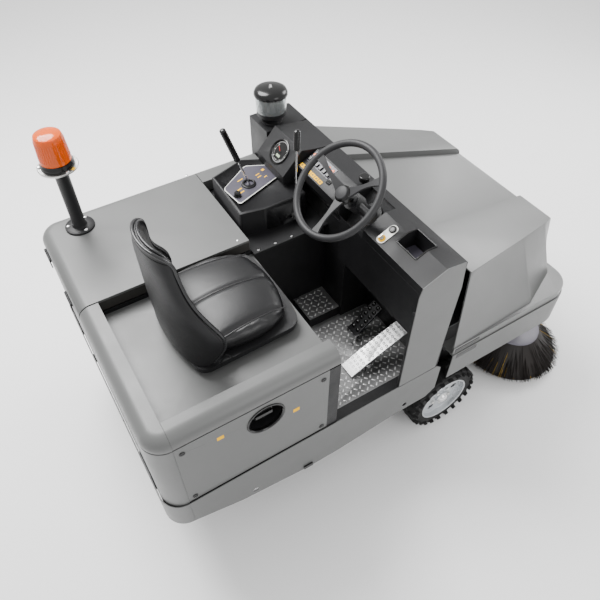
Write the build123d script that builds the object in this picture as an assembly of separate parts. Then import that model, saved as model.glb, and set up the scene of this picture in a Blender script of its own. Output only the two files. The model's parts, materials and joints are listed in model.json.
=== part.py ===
from build123d import *
import math
import os

# Ride-on industrial sweeper: chassis, cabin, seat, engine bay, high-lift front hopper, brushes and wheels.
# Working frame: +X forward, +Y to the driver's left, +Z up, ground at z = 0, body centre plane at y = 0.
# At export every piece moves by one shift that puts the origin on the ground below the footprint's centre.
# Lengths are millimetres, angles are degrees. Each node is one physical piece.

# ---------------------------------------------------------------- body
REAR_X = -1050.0            # outer face of the rear bumper
FRONT_X = 1040.0            # outer face of the front band
HALF_WIDTH = 621.0          # outer face of skirts and front band
PANEL_INSET = 6.0           # body panels stand this far inside the skirts
SHEET = 4.0                 # wall of sheets and mouldings
EDGE_WIDTH = 82.0           # width of the rolled edges
CORNER_R = 80.0             # plan radius of the rear corners
ROLL_R = 50.0               # radius of the rolled top edges
SKIRT_Z = (430.0, 585.0)
PANEL_Z = (590.0, 980.0)
COVER_Z = (985.0, 1040.0)   # engine cover and rolled edges
DECK_Z = 965.0              # top of the seat deck
CABIN_REAR_X = -318.0       # front of the seat box and of the engine bay
CABIN_LEFT_Y = 54.0         # left wall of the footwell
FIREWALL_X = (196.0, 204.0)

# ---------------------------------------------------------------- chassis and wheels
RAIL_Z = (420.0, 500.0)
RAIL_WIDTH = 80.0
RAIL_X = (-964.0, 130.0)
CARRIER_Y = (466.0, 478.0)  # front axle carrier plates
WHEEL_R = 190.0
TYRE_WIDTH = 104.0
RIM_R = 131.0
FRONT_AXLE_X = 340.0
REAR_AXLE_X = -780.0
FRONT_TYRE_Y = 560.0
AXLE_R = 15.0
FIT = 0.05                  # radial clearance of a shaft in its bore
GAP = 0.3                   # clearance between pieces of different bodies

# ---------------------------------------------------------------- brushes
MAIN_BRUSH_X = -70.0
MAIN_BRUSH_R = 170.0
MAIN_BRUSH_HALF = 478.0
MAIN_PIVOT = (-400.0, 330.0)
SIDE_BRUSH = (985.0, -440.0, 176.0)
SIDE_BRUSH_R = 300.0
SIDE_BRUSH_TILT = 5.0
SIDE_HUB_R = 140.0
SIDE_PIVOT = (450.0, 300.0)

# ---------------------------------------------------------------- hopper
LIFT_A = (245.0, 960.0)     # arm pivot on the tower, x and z
ARM_LENGTH = 675.0
ARM_ANGLE = 58.0            # below the horizon at rest
ARM_Y = 512.0
ARM_THICK = 16.0
ARM_HALF = 26.0
LIFT_TOWER_X = 276.0        # front edge of the lift towers
LIFT_TOWER_Y = 560.0        # outer face of the lift towers
BIN_HALF = 430.0
BIN_X = (215.0, 905.0)
FLAP_PIVOT = (234.0, 352.0)
HOPPER_REAR_X = 290.0
BAND_Z = (428.0, 596.0)
SHELF_THICK = 8.0
HOOD_Z = (BAND_Z[1] + GAP, 640.0)           # the hood's upright lower edge
HOOD_REAR_Z = 1088.0        # top of the hood's shoulders at its rear edge
HOOD_FRONT_Z = 920.0
HOOD_WALL = 6.0
CHANNEL_DEPTH = 30.0

# ---------------------------------------------------------------- cabin
SEAT_Y = -182.0
SEAT_HALF = 230.0
SEAT_X = (-770.0, -335.0)
SEAT_TOP_Z = 1475.0
WHEEL_HUB = (-65.0, SEAT_Y, 1354.0)
STEER_TILT = 42.0
STEER_R = 182.0
STEER_GRIP_R = 14.0
COLUMN_FOOT = 262.0         # from the steering wheel's centre down the column to its foot
FLOOR_Z = (500.0, 505.0)
STEP_TOP_Z = 560.0
TOWER_Y = -112.0            # right wall of the column tower
DASH_REAR_X = 6.0
DASH_Z = (1060.0, 1190.0, 1233.0, 1225.0)   # underside, rear edge, crest, front edge
CREST_X = 107.0
DASH_LEFT_Y = 216.0
CONSOLE_TOP_Z = 1104.0
DRIVE_PIVOT = (-30.0, 540.0)
DRIVE_Y = (-440.0, -362.0)
BRAKE_PIVOT = (30.0, 528.0)
BRAKE_Y = (-270.0, -208.0)
PEDAL_PIN_R = 6.0
TRAY_X = (60.0, 150.0)
TRAY_Y = (-505.0, -400.0)
TRAY_FLOOR_Z = 1156.0
PLATE_Y = -348.0            # centre of the plate with key and horn button
KEY_AT = 26.0               # distances along the dash's top slope from its rear edge
HORN_AT = 78.0
ROCKER_AT = 50.0
ROCKER_Y = 30.0
KNOB_XY = (140.0, -74.0)
GATE_XYZ = (-165.0, 315.0, 1060.0)
SELECTOR_XZ = (-70.0, 1020.0)
CLEANER_XY = (60.0, 528.0)

# ---------------------------------------------------------------- engine bay
MAST_XY = (-882.0, 505.0)
MAST_HEIGHT = 300.0
BEACON_HEIGHT = 150.0
FILLER = (-627.0, 888.0)
FILLER_R = 68.0
LASHING_R = 12.0
LASHING = ((54.0, 400.0), (-700.0, 398.0))

BODY_HALF = HALF_WIDTH - PANEL_INSET
BODY_REAR_X = REAR_X + PANEL_INSET + 2.0
INNER_HALF = HALF_WIDTH - SHEET
POST_DEPTH = (BODY_HALF - SHEET - 36.0, BODY_HALF - SHEET)
PANEL_FRONT_X = CABIN_REAR_X - 48.0
PANEL_REAR_X = BODY_REAR_X + EDGE_WIDTH
BAY_FLOOR_Z = RAIL_Z[1] + SHEET
SEAT_BASE_Z = DECK_Z + 12.0 + GAP
LIFT_B = (LIFT_A[0] + ARM_LENGTH * math.cos(math.radians(ARM_ANGLE)),
          LIFT_A[1] - ARM_LENGTH * math.sin(math.radians(ARM_ANGLE)))
MAIN_AXLE_Z = MAIN_BRUSH_R + 5.0


# ---------------------------------------------------------------- helpers
def block(x, y, z):
    """A box from its limits in x, y and z."""
    x, y, z = sorted(x), sorted(y), sorted(z)
    centre = ((x[0] + x[1]) / 2, (y[0] + y[1]) / 2, (z[0] + z[1]) / 2)
    return Pos(*centre) * Box(x[1] - x[0], y[1] - y[0], z[1] - z[0])


def outline(*points):
    """A closed polygon face."""
    return make_face(Polyline(*points, close=True))


def along_y(face, y):
    """A side view (x, z) made solid between two values of y."""
    plane = Plane(origin=(0, max(y), 0), x_dir=(1, 0, 0), z_dir=(0, -1, 0))
    return extrude(plane * face, amount=max(y) - min(y))


def along_x(face, x):
    """A rear view (y, z) made solid between two values of x."""
    plane = Plane(origin=(x[0], 0, 0), x_dir=(0, 1, 0), z_dir=(1, 0, 0))
    return extrude(plane * face, amount=x[1] - x[0])


def along_z(face, z):
    """A plan (x, y) made solid between two heights."""
    return extrude(Pos(0, 0, z[0]) * face, amount=z[1] - z[0])


def rod(start, end, radius):
    """A cylinder between two points."""
    a, b = Vector(*start), Vector(*end)
    return extrude(Plane(origin=a, z_dir=b - a) * Circle(radius), amount=(b - a).length)


def cross_rod(xz, y, radius):
    """A cylinder along y at a point of the side view."""
    return rod((xz[0], min(y), xz[1]), (xz[0], max(y), xz[1]), radius)


def post(xy, z, radius):
    """An upright cylinder."""
    return rod((xy[0], xy[1], z[0]), (xy[0], xy[1], z[1]), radius)


def mirrored(shape):
    return shape.mirror(Plane.XZ)


def both_sides(shape):
    return [shape, mirrored(shape)]


def fuse(*shapes):
    """One solid out of pieces that touch or overlap."""
    flat = []
    for shape in shapes:
        flat += shape if isinstance(shape, list) else [shape]
    return flat[0].fuse(*flat[1:])


def wrap(half, rear, front, radius, z):
    """A sheet wrapped round the rear of the body, with rounded corners."""
    def plan(inset, end):
        side, back = half - inset, rear + inset
        face = outline((back, -side), (end, -side), (end, side), (back, side))
        return fillet(face.vertices().sort_by(Axis.X)[:2], radius - inset)
    return along_z(plan(0, front), z) - along_z(plan(SHEET, front + 1), z)


def roll_profile(inset, low):
    """Section of a rolled edge down to a given height: outer wall at u = 0, inner wall at u = EDGE_WIDTH."""
    u0, u1 = inset, EDGE_WIDTH - inset
    top, r = COVER_Z[1] - inset, ROLL_R - inset
    mid = r * (1 - math.sqrt(0.5))
    return make_face([
        Line((u0, low), (u0, top - r)),
        ThreePointArc((u0, top - r), (u0 + mid, top - mid), (u0 + r, top)),
        Line((u0 + r, top), (u1, top)),
        Line((u1, top), (u1, low)),
        Line((u1, low), (u0, low)),
    ])


def rolled_edge(inner_low):
    """Hollow section of a rolled edge whose inner wall reaches down to a given height."""
    low, half = DECK_Z - 20, EDGE_WIDTH / 2
    ring = roll_profile(0, low) - roll_profile(SHEET, low - 1)
    ring -= outline((-1, low - 2), (half, low - 2), (half, COVER_Z[0]), (-1, COVER_Z[0]))
    return ring - outline((half, low - 2), (EDGE_WIDTH + 1, low - 2), (EDGE_WIDTH + 1, inner_low), (half, inner_low))


# ---------------------------------------------------------------- chassis
def frame():
    """Welded frame: rails, cross members, steering plate, floor sheet of the rear bay, posts and ledges."""
    y = (INNER_HALF - RAIL_WIDTH, INNER_HALF)
    z = (RAIL_Z[0] + 6, RAIL_Z[1] - 6)
    rail = block(RAIL_X, y, RAIL_Z) - block(RAIL_X, (y[0] + 6, y[1] - 6), z)
    crosses = []
    for x in (RAIL_X[0], REAR_AXLE_X + 110, CABIN_REAR_X - 62, RAIL_X[1] - 60):
        beam = block((x, x + 60), (-y[0], y[0]), RAIL_Z) - block((x + 6, x + 54), (-y[0], y[0]), z)
        crosses.append(beam - post((x + 30, 0), (RAIL_Z[0], RAIL_Z[0] + 10), 15))
    steer = block((RAIL_X[0] + 60, REAR_AXLE_X + 110), (-140, 140), (RAIL_Z[1] - 12, RAIL_Z[1]))
    floor = block((RAIL_X[0], CABIN_REAR_X), (-INNER_HALF, INNER_HALF), (RAIL_Z[1], BAY_FLOOR_Z))
    posts = [block(x, POST_DEPTH, (BAY_FLOOR_Z, PANEL_Z[1]))
             for x in ((PANEL_REAR_X, PANEL_REAR_X + 35), (PANEL_FRONT_X - 35, PANEL_FRONT_X))]
    ledge = block((PANEL_REAR_X, PANEL_FRONT_X), POST_DEPTH, (PANEL_Z[1] - 11, PANEL_Z[1]))
    ear = block((MAIN_PIVOT[0] - 20, MAIN_PIVOT[0] + 20), (455, 465), (MAIN_PIVOT[1] - 20, RAIL_Z[1]))
    ear = fuse(ear, block((MAIN_PIVOT[0] - 20, CABIN_REAR_X - 62), (450, 465), RAIL_Z))
    ear -= cross_rod(MAIN_PIVOT, (440, 470), 10 + FIT)
    whole = fuse(floor, steer, *crosses, both_sides(fuse(rail, ledge, *posts)), both_sides(ear))
    return whole - post((REAR_AXLE_X, 0), (RAIL_Z[0], RAIL_Z[1]), 30 + FIT)


def front_carriers():
    """Front axle carriers: plates, stub axles with nuts, lift towers and arm pivot pins."""
    x0 = RAIL_X[1]
    axle = (FRONT_AXLE_X, WHEEL_R)
    px, pz = SIDE_PIVOT
    plate = along_y(outline((x0, RAIL_Z[1]), (300, RAIL_Z[1]), (430, 360), (px + 40, pz + 30), (px + 40, pz - 30),
                            (px - 50, pz - 40), (370, WHEEL_R - 40), (310, WHEEL_R - 40), (250, 300),
                            (x0, RAIL_Z[0])), CARRIER_Y)
    stub = cross_rod(axle, (CARRIER_Y[1], FRONT_TYRE_Y + 44), AXLE_R)
    collar = cross_rod(axle, (CARRIER_Y[1], FRONT_TYRE_Y - 40 - GAP), 30)
    nut = cross_rod(axle, (FRONT_TYRE_Y + 40 + GAP, FRONT_TYRE_Y + 52), 22)
    x, y, z = (FIREWALL_X[1], LIFT_TOWER_X), (CARRIER_Y[1], LIFT_TOWER_Y), (RAIL_Z[0], LIFT_A[1] + 60)
    inner = block(x, (y[0], y[0] + 8), z)
    outer = block(x, (y[1] - 8, y[1]), z)
    back = block((x[0], x[0] + 6), y, z)
    foot = block((x0, x[0]), y, (RAIL_Z[1] - 12, RAIL_Z[1]))
    pin = cross_rod(LIFT_A, y, 14)
    left = fuse(plate, stub, collar, nut, inner, outer, back, foot, pin)
    right = mirrored(left) - cross_rod(SIDE_PIVOT, (-490, -460), 12 + FIT)
    return fuse(block((x0, x0 + 8), (-CARRIER_Y[0], CARRIER_Y[0]), RAIL_Z), left, right)


def skirt(side):
    """Lower side skirt with its sloping lower edge and two round lashing holes."""
    back = REAR_X + 87
    sheet = along_y(outline((back, SKIRT_Z[1]), (200, SKIRT_Z[1]), (228, 560), (228, 400), (180, 360), (24, 360),
                            (-300, 330), (-444, 328), (-763, 371), (back, SKIRT_Z[0])), (-HALF_WIDTH, -INNER_HALF))
    for hole in LASHING:
        sheet -= cross_rod(hole, (-HALF_WIDTH - 1, -INNER_HALF + 1), LASHING_R)
    return sheet if side < 0 else mirrored(sheet)


def rear_bumper():
    ring = wrap(HALF_WIDTH, REAR_X, REAR_X + 87, 84, SKIRT_Z)
    tie = block((REAR_X + SHEET, RAIL_X[0]), (280, 300), (450, 490))
    return fuse(ring, both_sides(tie))


def rear_panel():
    """Rear body sheet with rounded corners, a folded foot and ventilation slots."""
    sheet = wrap(BODY_HALF, BODY_REAR_X, PANEL_REAR_X, CORNER_R, (BAY_FLOOR_Z, PANEL_Z[1]))
    foot = block((BODY_REAR_X + SHEET, RAIL_X[0] + 20), (-400, 400), (BAY_FLOOR_Z, BAY_FLOOR_Z + SHEET))
    slots = [block((BODY_REAR_X - 5, BODY_REAR_X + 20), (y, y + 130), (720 + 26 * row, 732 + 26 * row))
             for row in range(6) for y in (-440, -290, 160, 310)]
    return fuse(sheet, foot) - slots


def fastener_heads():
    """Quarter-turn fastener heads at the corners of the right-hand panel."""
    return [cross_rod((x, z), (-BODY_HALF - 2, -BODY_HALF), 9)
            for x in (PANEL_REAR_X + 25, PANEL_FRONT_X - 25) for z in (PANEL_Z[0] + 25, PANEL_Z[1] - 40)]


def side_panel_right():
    """Service panel with the filler opening."""
    sheet = block((PANEL_REAR_X, PANEL_FRONT_X), (-BODY_HALF, -BODY_HALF + SHEET), PANEL_Z)
    sheet -= cross_rod(FILLER, (-BODY_HALF - 1, -BODY_HALF + SHEET + 1), FILLER_R)
    return fuse(sheet, *fastener_heads())


def side_panel_left():
    """Long left panel from the rear corner to the dash."""
    side = outline((PANEL_REAR_X, PANEL_Z[0]), (FIREWALL_X[0], PANEL_Z[0]), (FIREWALL_X[0], COVER_Z[0]),
                   (CABIN_REAR_X, COVER_Z[0]), (CABIN_REAR_X, PANEL_Z[1]), (PANEL_REAR_X, PANEL_Z[1]))
    sheet = along_y(side, (BODY_HALF - SHEET, BODY_HALF))
    flange = block((CABIN_REAR_X, RAIL_X[1]), (BODY_HALF - 30, BODY_HALF - SHEET), (PANEL_Z[0], PANEL_Z[0] + SHEET))
    leg = block((CABIN_REAR_X, RAIL_X[1]), (BODY_HALF - 30, BODY_HALF - 26), (RAIL_Z[1], PANEL_Z[0] + SHEET))
    return fuse(sheet, flange, leg, *[mirrored(head) for head in fastener_heads()])


def bay_walls():
    """Black sheets round the seat box: its front wall and the partition to the engine bay."""
    x = (CABIN_REAR_X - SHEET, CABIN_REAR_X)
    right = block(x, (-BODY_HALF, CABIN_LEFT_Y), (BAY_FLOOR_Z, DECK_Z - SHEET))
    left = block(x, (CABIN_LEFT_Y, BODY_HALF - SHEET), (BAY_FLOOR_Z, COVER_Z[0] - GAP))
    end = block((PANEL_FRONT_X, x[1]), (-BODY_HALF, -BODY_HALF + SHEET), (BAY_FLOOR_Z, PANEL_Z[1]))
    partition = block((BODY_REAR_X + SHEET, x[1]), (CABIN_LEFT_Y, CABIN_LEFT_Y + SHEET),
                      (BAY_FLOOR_Z + SHEET, COVER_Z[0] - 2))
    return fuse(right, left, end, partition)


def seat_deck():
    """Flat deck under the seat, with the two seat runners welded on."""
    y = (-POST_DEPTH[0], CABIN_LEFT_Y)
    deck = block((PANEL_REAR_X - 40, CABIN_REAR_X), y, (DECK_Z - SHEET, DECK_Z))
    lip = block((CABIN_REAR_X, CABIN_REAR_X + 3), y, (DECK_Z - 60, DECK_Z))
    runners = [block((SEAT_X[0] + 20, SEAT_X[1] - 20), (c - 14, c + 14), (DECK_Z, DECK_Z + 12))
               for c in (SEAT_Y - 150, SEAT_Y + 150)]
    return fuse(deck, lip, *runners)


def deck_rail_side():
    """Rolled edge along the right of the deck, closed at its front end."""
    shift = Pos(-BODY_HALF, 0, 0)
    cap = along_x(shift * roll_profile(0, COVER_Z[0]), (CABIN_REAR_X - SHEET, CABIN_REAR_X))
    return fuse(along_x(shift * rolled_edge(DECK_Z), (PANEL_REAR_X, CABIN_REAR_X)), cap)


def deck_rail_rear():
    """Rolled edge behind the deck with its rounded corner."""
    y = -BODY_HALF + EDGE_WIDTH
    straight = along_y(Pos(BODY_REAR_X, 0, 0) * rolled_edge(DECK_Z), (y, CABIN_LEFT_Y))
    plane = Plane(origin=(BODY_REAR_X, y, 0), x_dir=(1, 0, 0), z_dir=(0, -1, 0))
    section = rolled_edge(DECK_Z) - block((EDGE_WIDTH / 2, EDGE_WIDTH + 1), (0, COVER_Z[1] - SHEET), (-1, 1))
    corner = revolve(plane * section, axis=Axis((PANEL_REAR_X, y, 0), (0, 0, 1)), revolution_arc=90)
    return fuse(straight, corner)


def sill():
    """Dark edging along the open side of the footwell, with the post behind the dash's end plate."""
    tread = block((CABIN_REAR_X, FIREWALL_X[0]), (-INNER_HALF, -535), (RAIL_Z[1], RAIL_Z[1] + 8))
    lip = block((CABIN_REAR_X, -6), (-INNER_HALF, -INNER_HALF + 5), (RAIL_Z[1], 560))
    upright = block((-6, 20), (-INNER_HALF, -INNER_HALF + 12), (RAIL_Z[1], DASH_Z[0]))
    return fuse(tread, lip, upright)


# ---------------------------------------------------------------- engine bay
def engine():
    sump = block((-680, -440), (230, 450), (BAY_FLOOR_Z, 560))
    crankcase = block((-700, -420), (200, 480), (560, 720))
    head = block((-680, -440), (250, 430), (720, 880))
    pulley = rod((-420, 340, 640), (-385, 340, 640), 70)
    return fuse(sump, crankcase, head, pulley)


def fuel_tank():
    """Tank with its filler cup behind the side panel."""
    tank = block((-880, -420), (-565, -420), (BAY_FLOOR_Z, 800))
    tank = fillet(tank.edges().filter_by(Axis.Z), 25)
    neck = block((FILLER[0] - 34, FILLER[0] + 34), (-548, -480), (790, FILLER[1] + 20))
    cup = cross_rod(FILLER, (-BODY_HALF + SHEET, -547), FILLER_R + 4)
    return fuse(tank, neck, cup) - cross_rod(FILLER, (-BODY_HALF, -553), FILLER_R)


def fuel_cap():
    cap = cross_rod(FILLER, (-553 - GAP, -589), 40)
    grip = block((FILLER[0] - 34, FILLER[0] + 34), (-601, -589), (FILLER[1] - 8, FILLER[1] + 8))
    return fuse(cap, grip)


def engine_cover():
    """Cover of the engine bay, rolled at its rear and left edges."""
    def body(i, low):
        shape = block((BODY_REAR_X + i, CABIN_REAR_X - 2 - i), (CABIN_LEFT_Y + 6 + i, BODY_HALF - i), (low, COVER_Z[1] - i))
        corner = [e for e in shape.edges().filter_by(Axis.Z) if e.center().X < PANEL_REAR_X and e.center().Y > 300]
        shape = fillet(corner, EDGE_WIDTH - i)
        rolled = [e for e in shape.edges().group_by(Axis.Z)[-1]
                  if e.center().X < BODY_REAR_X + 60 or e.center().Y > BODY_HALF - 60]
        return fillet(rolled, ROLL_R - i)
    return body(0, COVER_Z[0]) - body(SHEET, COVER_Z[0] - 1)


def beacon_mast():
    """Mast with its foot, head plate, bolts and the beacon's black base ring."""
    x, y = MAST_XY
    foot = COVER_Z[1]
    head = foot + MAST_HEIGHT
    parts = [post(MAST_XY, (foot, foot + 8), 60), post(MAST_XY, (foot + 8, head), 27),
             post(MAST_XY, (head, head + 10), 76), post(MAST_XY, (head + 10, head + 34), 61)]
    for k in range(3):
        a = math.radians(45 + 120 * k)
        parts.append(post((x + 46 * math.cos(a), y + 46 * math.sin(a)), (foot + 8, foot + 15), 6))
        parts.append(post((x + 68 * math.cos(a), y + 68 * math.sin(a)), (head + 10, head + 15), 4))
    return fuse(*parts)


def beacon_lens():
    z = COVER_Z[1] + MAST_HEIGHT + 34
    top = z + BEACON_HEIGHT - 34
    plane = Plane(origin=(*MAST_XY, 0), x_dir=(1, 0, 0), z_dir=(0, -1, 0))
    axis = Axis((*MAST_XY, 0), (0, 0, 1))
    dome = revolve(plane * outline((0, z), (58, z), (52, top - 12), (44, top), (0, top)), axis=axis)
    return dome - revolve(plane * outline((0, z), (54, z), (48, top - 14), (41, top - 4), (0, top - 4)), axis=axis)


# ---------------------------------------------------------------- cabin
def pedal_ears(pivot, y):
    ears = [block((pivot[0] - 12, pivot[0] + 12), side, (FLOOR_Z[1] - 1, pivot[1] + 12))
            for side in ((y[0] - 8, y[0] - 2), (y[1] + 2, y[1] + 8))]
    return [ear - cross_rod(pivot, (y[0] - 9, y[1] + 9), PEDAL_PIN_R + FIT) for ear in ears]


def floor_plate():
    """Tread plate of the footwell with the pedals' brackets welded on."""
    plate = block((CABIN_REAR_X, FIREWALL_X[0]), (-535, CABIN_LEFT_Y), FLOOR_Z)
    return fuse(plate, *pedal_ears(DRIVE_PIVOT, DRIVE_Y), *pedal_ears(BRAKE_PIVOT, BRAKE_Y))


def footwell_side_wall():
    """Black sheet on the left of the footwell, with the ledge that carries the lever console."""
    wall = block((CABIN_REAR_X, FIREWALL_X[0]), (CABIN_LEFT_Y, CABIN_LEFT_Y + SHEET), (RAIL_Z[1], COVER_Z[0]))
    ledge = block((CABIN_REAR_X, 46), (CABIN_LEFT_Y, 505), (COVER_Z[0] - SHEET, COVER_Z[0]))
    lip = block((CABIN_REAR_X, 46), (CABIN_LEFT_Y - 26, CABIN_LEFT_Y), (COVER_Z[0] - 10, COVER_Z[0]))
    return fuse(wall, ledge, lip)


def firewall():
    return block(FIREWALL_X, (-INNER_HALF, INNER_HALF), (RAIL_Z[1], DASH_Z[3] - 6))


def column_tower():
    """Black boxes ahead of the driver's feet: tower, foot rest and knee panel."""
    y = (TOWER_Y, CABIN_LEFT_Y)
    low, top = FLOOR_Z[1], DASH_Z[0]
    tower = block((46, FIREWALL_X[0]), y, (low, top))
    tower -= block((50, FIREWALL_X[0] - SHEET), (y[0] + SHEET, y[1] - SHEET), (low - 1, top - SHEET))
    step = block((-120, 46), (-100, y[1]), (low, STEP_TOP_Z))
    step -= block((-116, 46), (-96, y[1] - SHEET), (low - 1, STEP_TOP_Z - SHEET))
    knee = block((DASH_REAR_X, DASH_REAR_X + SHEET), (-INNER_HALF, y[0]), (920, 1150))
    knee -= block((0, 20), (-INNER_HALF - 1, -INNER_HALF + 12.5), (900, top + 1))
    knee -= along_y(dash_profile(0), (-HALF_WIDTH, 0))
    shelf = block((DASH_REAR_X, 100), (-INNER_HALF + 16, y[0]), (top - SHEET, top))
    return fuse(tower, step, knee, shelf)


def dash_profile(i):
    """Side view of the dash moulding, with an inset."""
    x0, x1 = DASH_REAR_X + i, FIREWALL_X[0] - i
    return outline((x0, 1150 + i * 0.5), (x0, DASH_Z[1] - i), (CREST_X, DASH_Z[2] - i), (x1, DASH_Z[3] - i),
                   (x1, DASH_Z[0] + i), (60 + i, DASH_Z[0] + i))


def dash_slope_plane(distance, lift, y):
    """Plane on the dash's top slope, a distance along it from its rear edge."""
    slope = math.atan2(DASH_Z[2] - DASH_Z[1], CREST_X - DASH_REAR_X)
    x = DASH_REAR_X + distance * math.cos(slope) - lift * math.sin(slope)
    z = DASH_Z[1] + distance * math.sin(slope) + lift * math.cos(slope)
    return Plane(origin=(x, y, z), x_dir=(math.cos(slope), 0, math.sin(slope)),
                 z_dir=(-math.sin(slope), 0, math.cos(slope)))


def steer_plane(distance):
    """Plane across the steering axis, a distance below the wheel's centre."""
    tilt = math.radians(STEER_TILT)
    normal = Vector(-math.sin(tilt), 0, math.cos(tilt))
    return Plane(origin=Vector(*WHEEL_HUB) - normal * distance, x_dir=(math.cos(tilt), 0, math.sin(tilt)), z_dir=normal)


def dash_console():
    """Black dash moulding: column recess, storage tray, key and horn plate, rocker pocket, knob bush."""
    y = (-INNER_HALF, DASH_LEFT_Y)
    outer = along_y(dash_profile(0), y)
    cavity = along_y(dash_profile(SHEET), (y[0] + SHEET, y[1] - SHEET))
    underside = block((70, FIREWALL_X[0] - SHEET), (y[0] + SHEET, y[1] - SHEET), (DASH_Z[0] - 1, DASH_Z[0] + 10))
    foot = steer_plane(COLUMN_FOOT)
    cheeks = extrude(foot.offset(-8) * (Pos(-10, 0) * Rectangle(190, 168)), amount=160) & outer
    recess = extrude(foot * (Pos(-15, 0) * Rectangle(190, 160)), amount=260)
    tray = block((TRAY_X[0] - 3, TRAY_X[1] + 3), (TRAY_Y[0] - 3, TRAY_Y[1] + 3), (TRAY_FLOOR_Z - 4, 1300)) & outer
    plate = extrude(dash_slope_plane((KEY_AT + HORN_AT) / 2, 0, PLATE_Y) * SlotOverall(88, 34), amount=3)
    pocket = extrude(dash_slope_plane(ROCKER_AT, 0, ROCKER_Y) * Rectangle(46, 31), amount=-13)
    bush = post(KNOB_XY, (1200, 1240), 14) & outer
    shell = fuse(outer - cavity - underside, cheeks, tray, plate, pocket, bush)
    shell = shell - recess - block(TRAY_X, TRAY_Y, (TRAY_FLOOR_Z, 1300)) - post(KNOB_XY, (1190, 1240), 8 + FIT)
    for distance in (KEY_AT, HORN_AT):
        shell -= extrude(dash_slope_plane(distance, 0, PLATE_Y) * Circle(9), amount=5)
    return shell - extrude(dash_slope_plane(ROCKER_AT, 1, ROCKER_Y) * Rectangle(40, 24.6), amount=-11)


def dash_end_plate():
    """Grey side plate that closes the dash on the open side."""
    side = outline((-6, PANEL_Z[0]), (-6, 1150), (4, DASH_Z[1] + 4), (CREST_X, DASH_Z[2] + 4), (194, DASH_Z[3]),
                   (207, 1093), (190, PANEL_Z[0]))
    return along_y(side, (-HALF_WIDTH, -INNER_HALF))


def instrument_box():
    """Black box at the left end of the dash with the air cleaner's base."""
    top = DASH_Z[3]
    x, y = (-10, FIREWALL_X[0]), (450, BODY_HALF - SHEET)
    box = block(x, y, (COVER_Z[0], top))
    box -= block((x[0] + SHEET, x[1] - SHEET), (y[0] + SHEET, y[1] - SHEET), (COVER_Z[0] - 5, top - SHEET))
    return fuse(box, post(CLEANER_XY, (top, top + 6), 48), post(CLEANER_XY, (top + 6, top + 34), 24),
                post(CLEANER_XY, (top + 34, top + 52), 66))


def air_cleaner():
    """Clear pre-cleaner bowl with its domed cap and wing nut."""
    z = DASH_Z[3] + 52
    bowl = post(CLEANER_XY, (z, z + 70), 68) - post(CLEANER_XY, (z - 1, z + 70), 64)
    cap = post(CLEANER_XY, (z + 70, z + 102), 75)
    cap = fillet(cap.edges().sort_by(Axis.Z)[-1], 20)
    return fuse(bowl, cap, post(CLEANER_XY, (z + 101, z + 112), 9))


def left_deck():
    """Grey top beside the lever console, rolled at its outer edge."""
    x = (CABIN_REAR_X, -14)
    section = Pos(BODY_HALF, 0, 0) * rolled_edge(COVER_Z[0]).mirror(Plane.YZ)
    inner = block(x, (505, BODY_HALF - EDGE_WIDTH + SHEET), COVER_Z)
    return fuse(along_x(section, x), inner)


def lever_console():
    """Black console on the driver's left: lever plate recess, lever saddle and selector quadrant."""
    plan = outline((-312, 150), (-200, 130), (2, 130), (2, 425), (-130, 495), (-300, 440))
    top = CONSOLE_TOP_Z
    shell = along_z(plan, (COVER_Z[0], top))
    shell -= along_z(offset(plan, -SHEET, kind=Kind.INTERSECTION), (COVER_Z[0] - 5, top - 18))
    shell -= along_z(offset(plan, -14, kind=Kind.INTERSECTION), (top - 8, top + 1))
    x, y, z = GATE_XYZ
    arms = [block((x - 8, x + 8), side, (z - 28, top - 18)) for side in ((y - 21, y - 16.5), (y + 16.5, y + 21))]
    saddle = block((x - 8, x + 8), (y - 21, y + 21), (z - 28, z - 22))
    slot = block((x - 50, x + 26), (y - 16, y + 12), (z + 20, top + 1))
    quadrant = cross_rod(SELECTOR_XZ, (122, 130), 62) - block((-200, 100), (100, 131), (900, COVER_Z[0]))
    return fuse(shell - slot, *arms, saddle, quadrant) - cross_rod(SELECTOR_XZ, (100, 132), 8 + FIT)


def gate_lever():
    """Hydraulic lever with its two-part grip."""
    foot = Vector(*GATE_XYZ)
    way = Vector(-135, -50, 380).normalized()
    tip = foot + way * 400
    return fuse(Pos(*GATE_XYZ) * Sphere(16), rod(tuple(foot), tuple(tip), 5), rod(tuple(tip - way * 190), tuple(tip), 14),
                rod(tuple(tip - way * 100), tuple(tip - way * 84), 17))


def selector_lever():
    """Long upright rod with a hub in the quadrant."""
    x, z = SELECTOR_XZ
    knee = (x + 20, 128, 1330)
    return fuse(cross_rod(SELECTOR_XZ, (104, 129.7), 8), cross_rod(SELECTOR_XZ, (104, 122 - GAP), 16),
                rod((x, 110, z), knee, 4), rod(knee, (x + 24, 131, 1425), 11))


def gauge_plane(lift):
    """Plane of the sloping instrument face."""
    slope = math.atan2(100, 94)
    normal = Vector(-math.sin(slope), 0, math.cos(slope))
    return Plane(origin=Vector(-17, 326, 1200) + normal * lift, x_dir=(0, -1, 0), z_dir=normal)


def pod_profile(i):
    """Side view of the instrument housing, with an inset."""
    low, top, x1 = DASH_Z[0] + i, CONSOLE_TOP_Z, FIREWALL_X[0] - i
    return outline((-60 + i, top + i), (-64 + i, 1150 - 0.4 * i), (30, 1250 - 1.4 * i), (100, 1236 - i),
                   (x1, DASH_Z[3] - i), (x1, low), (60 + i, low), (50 + i, top + i))


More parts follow.
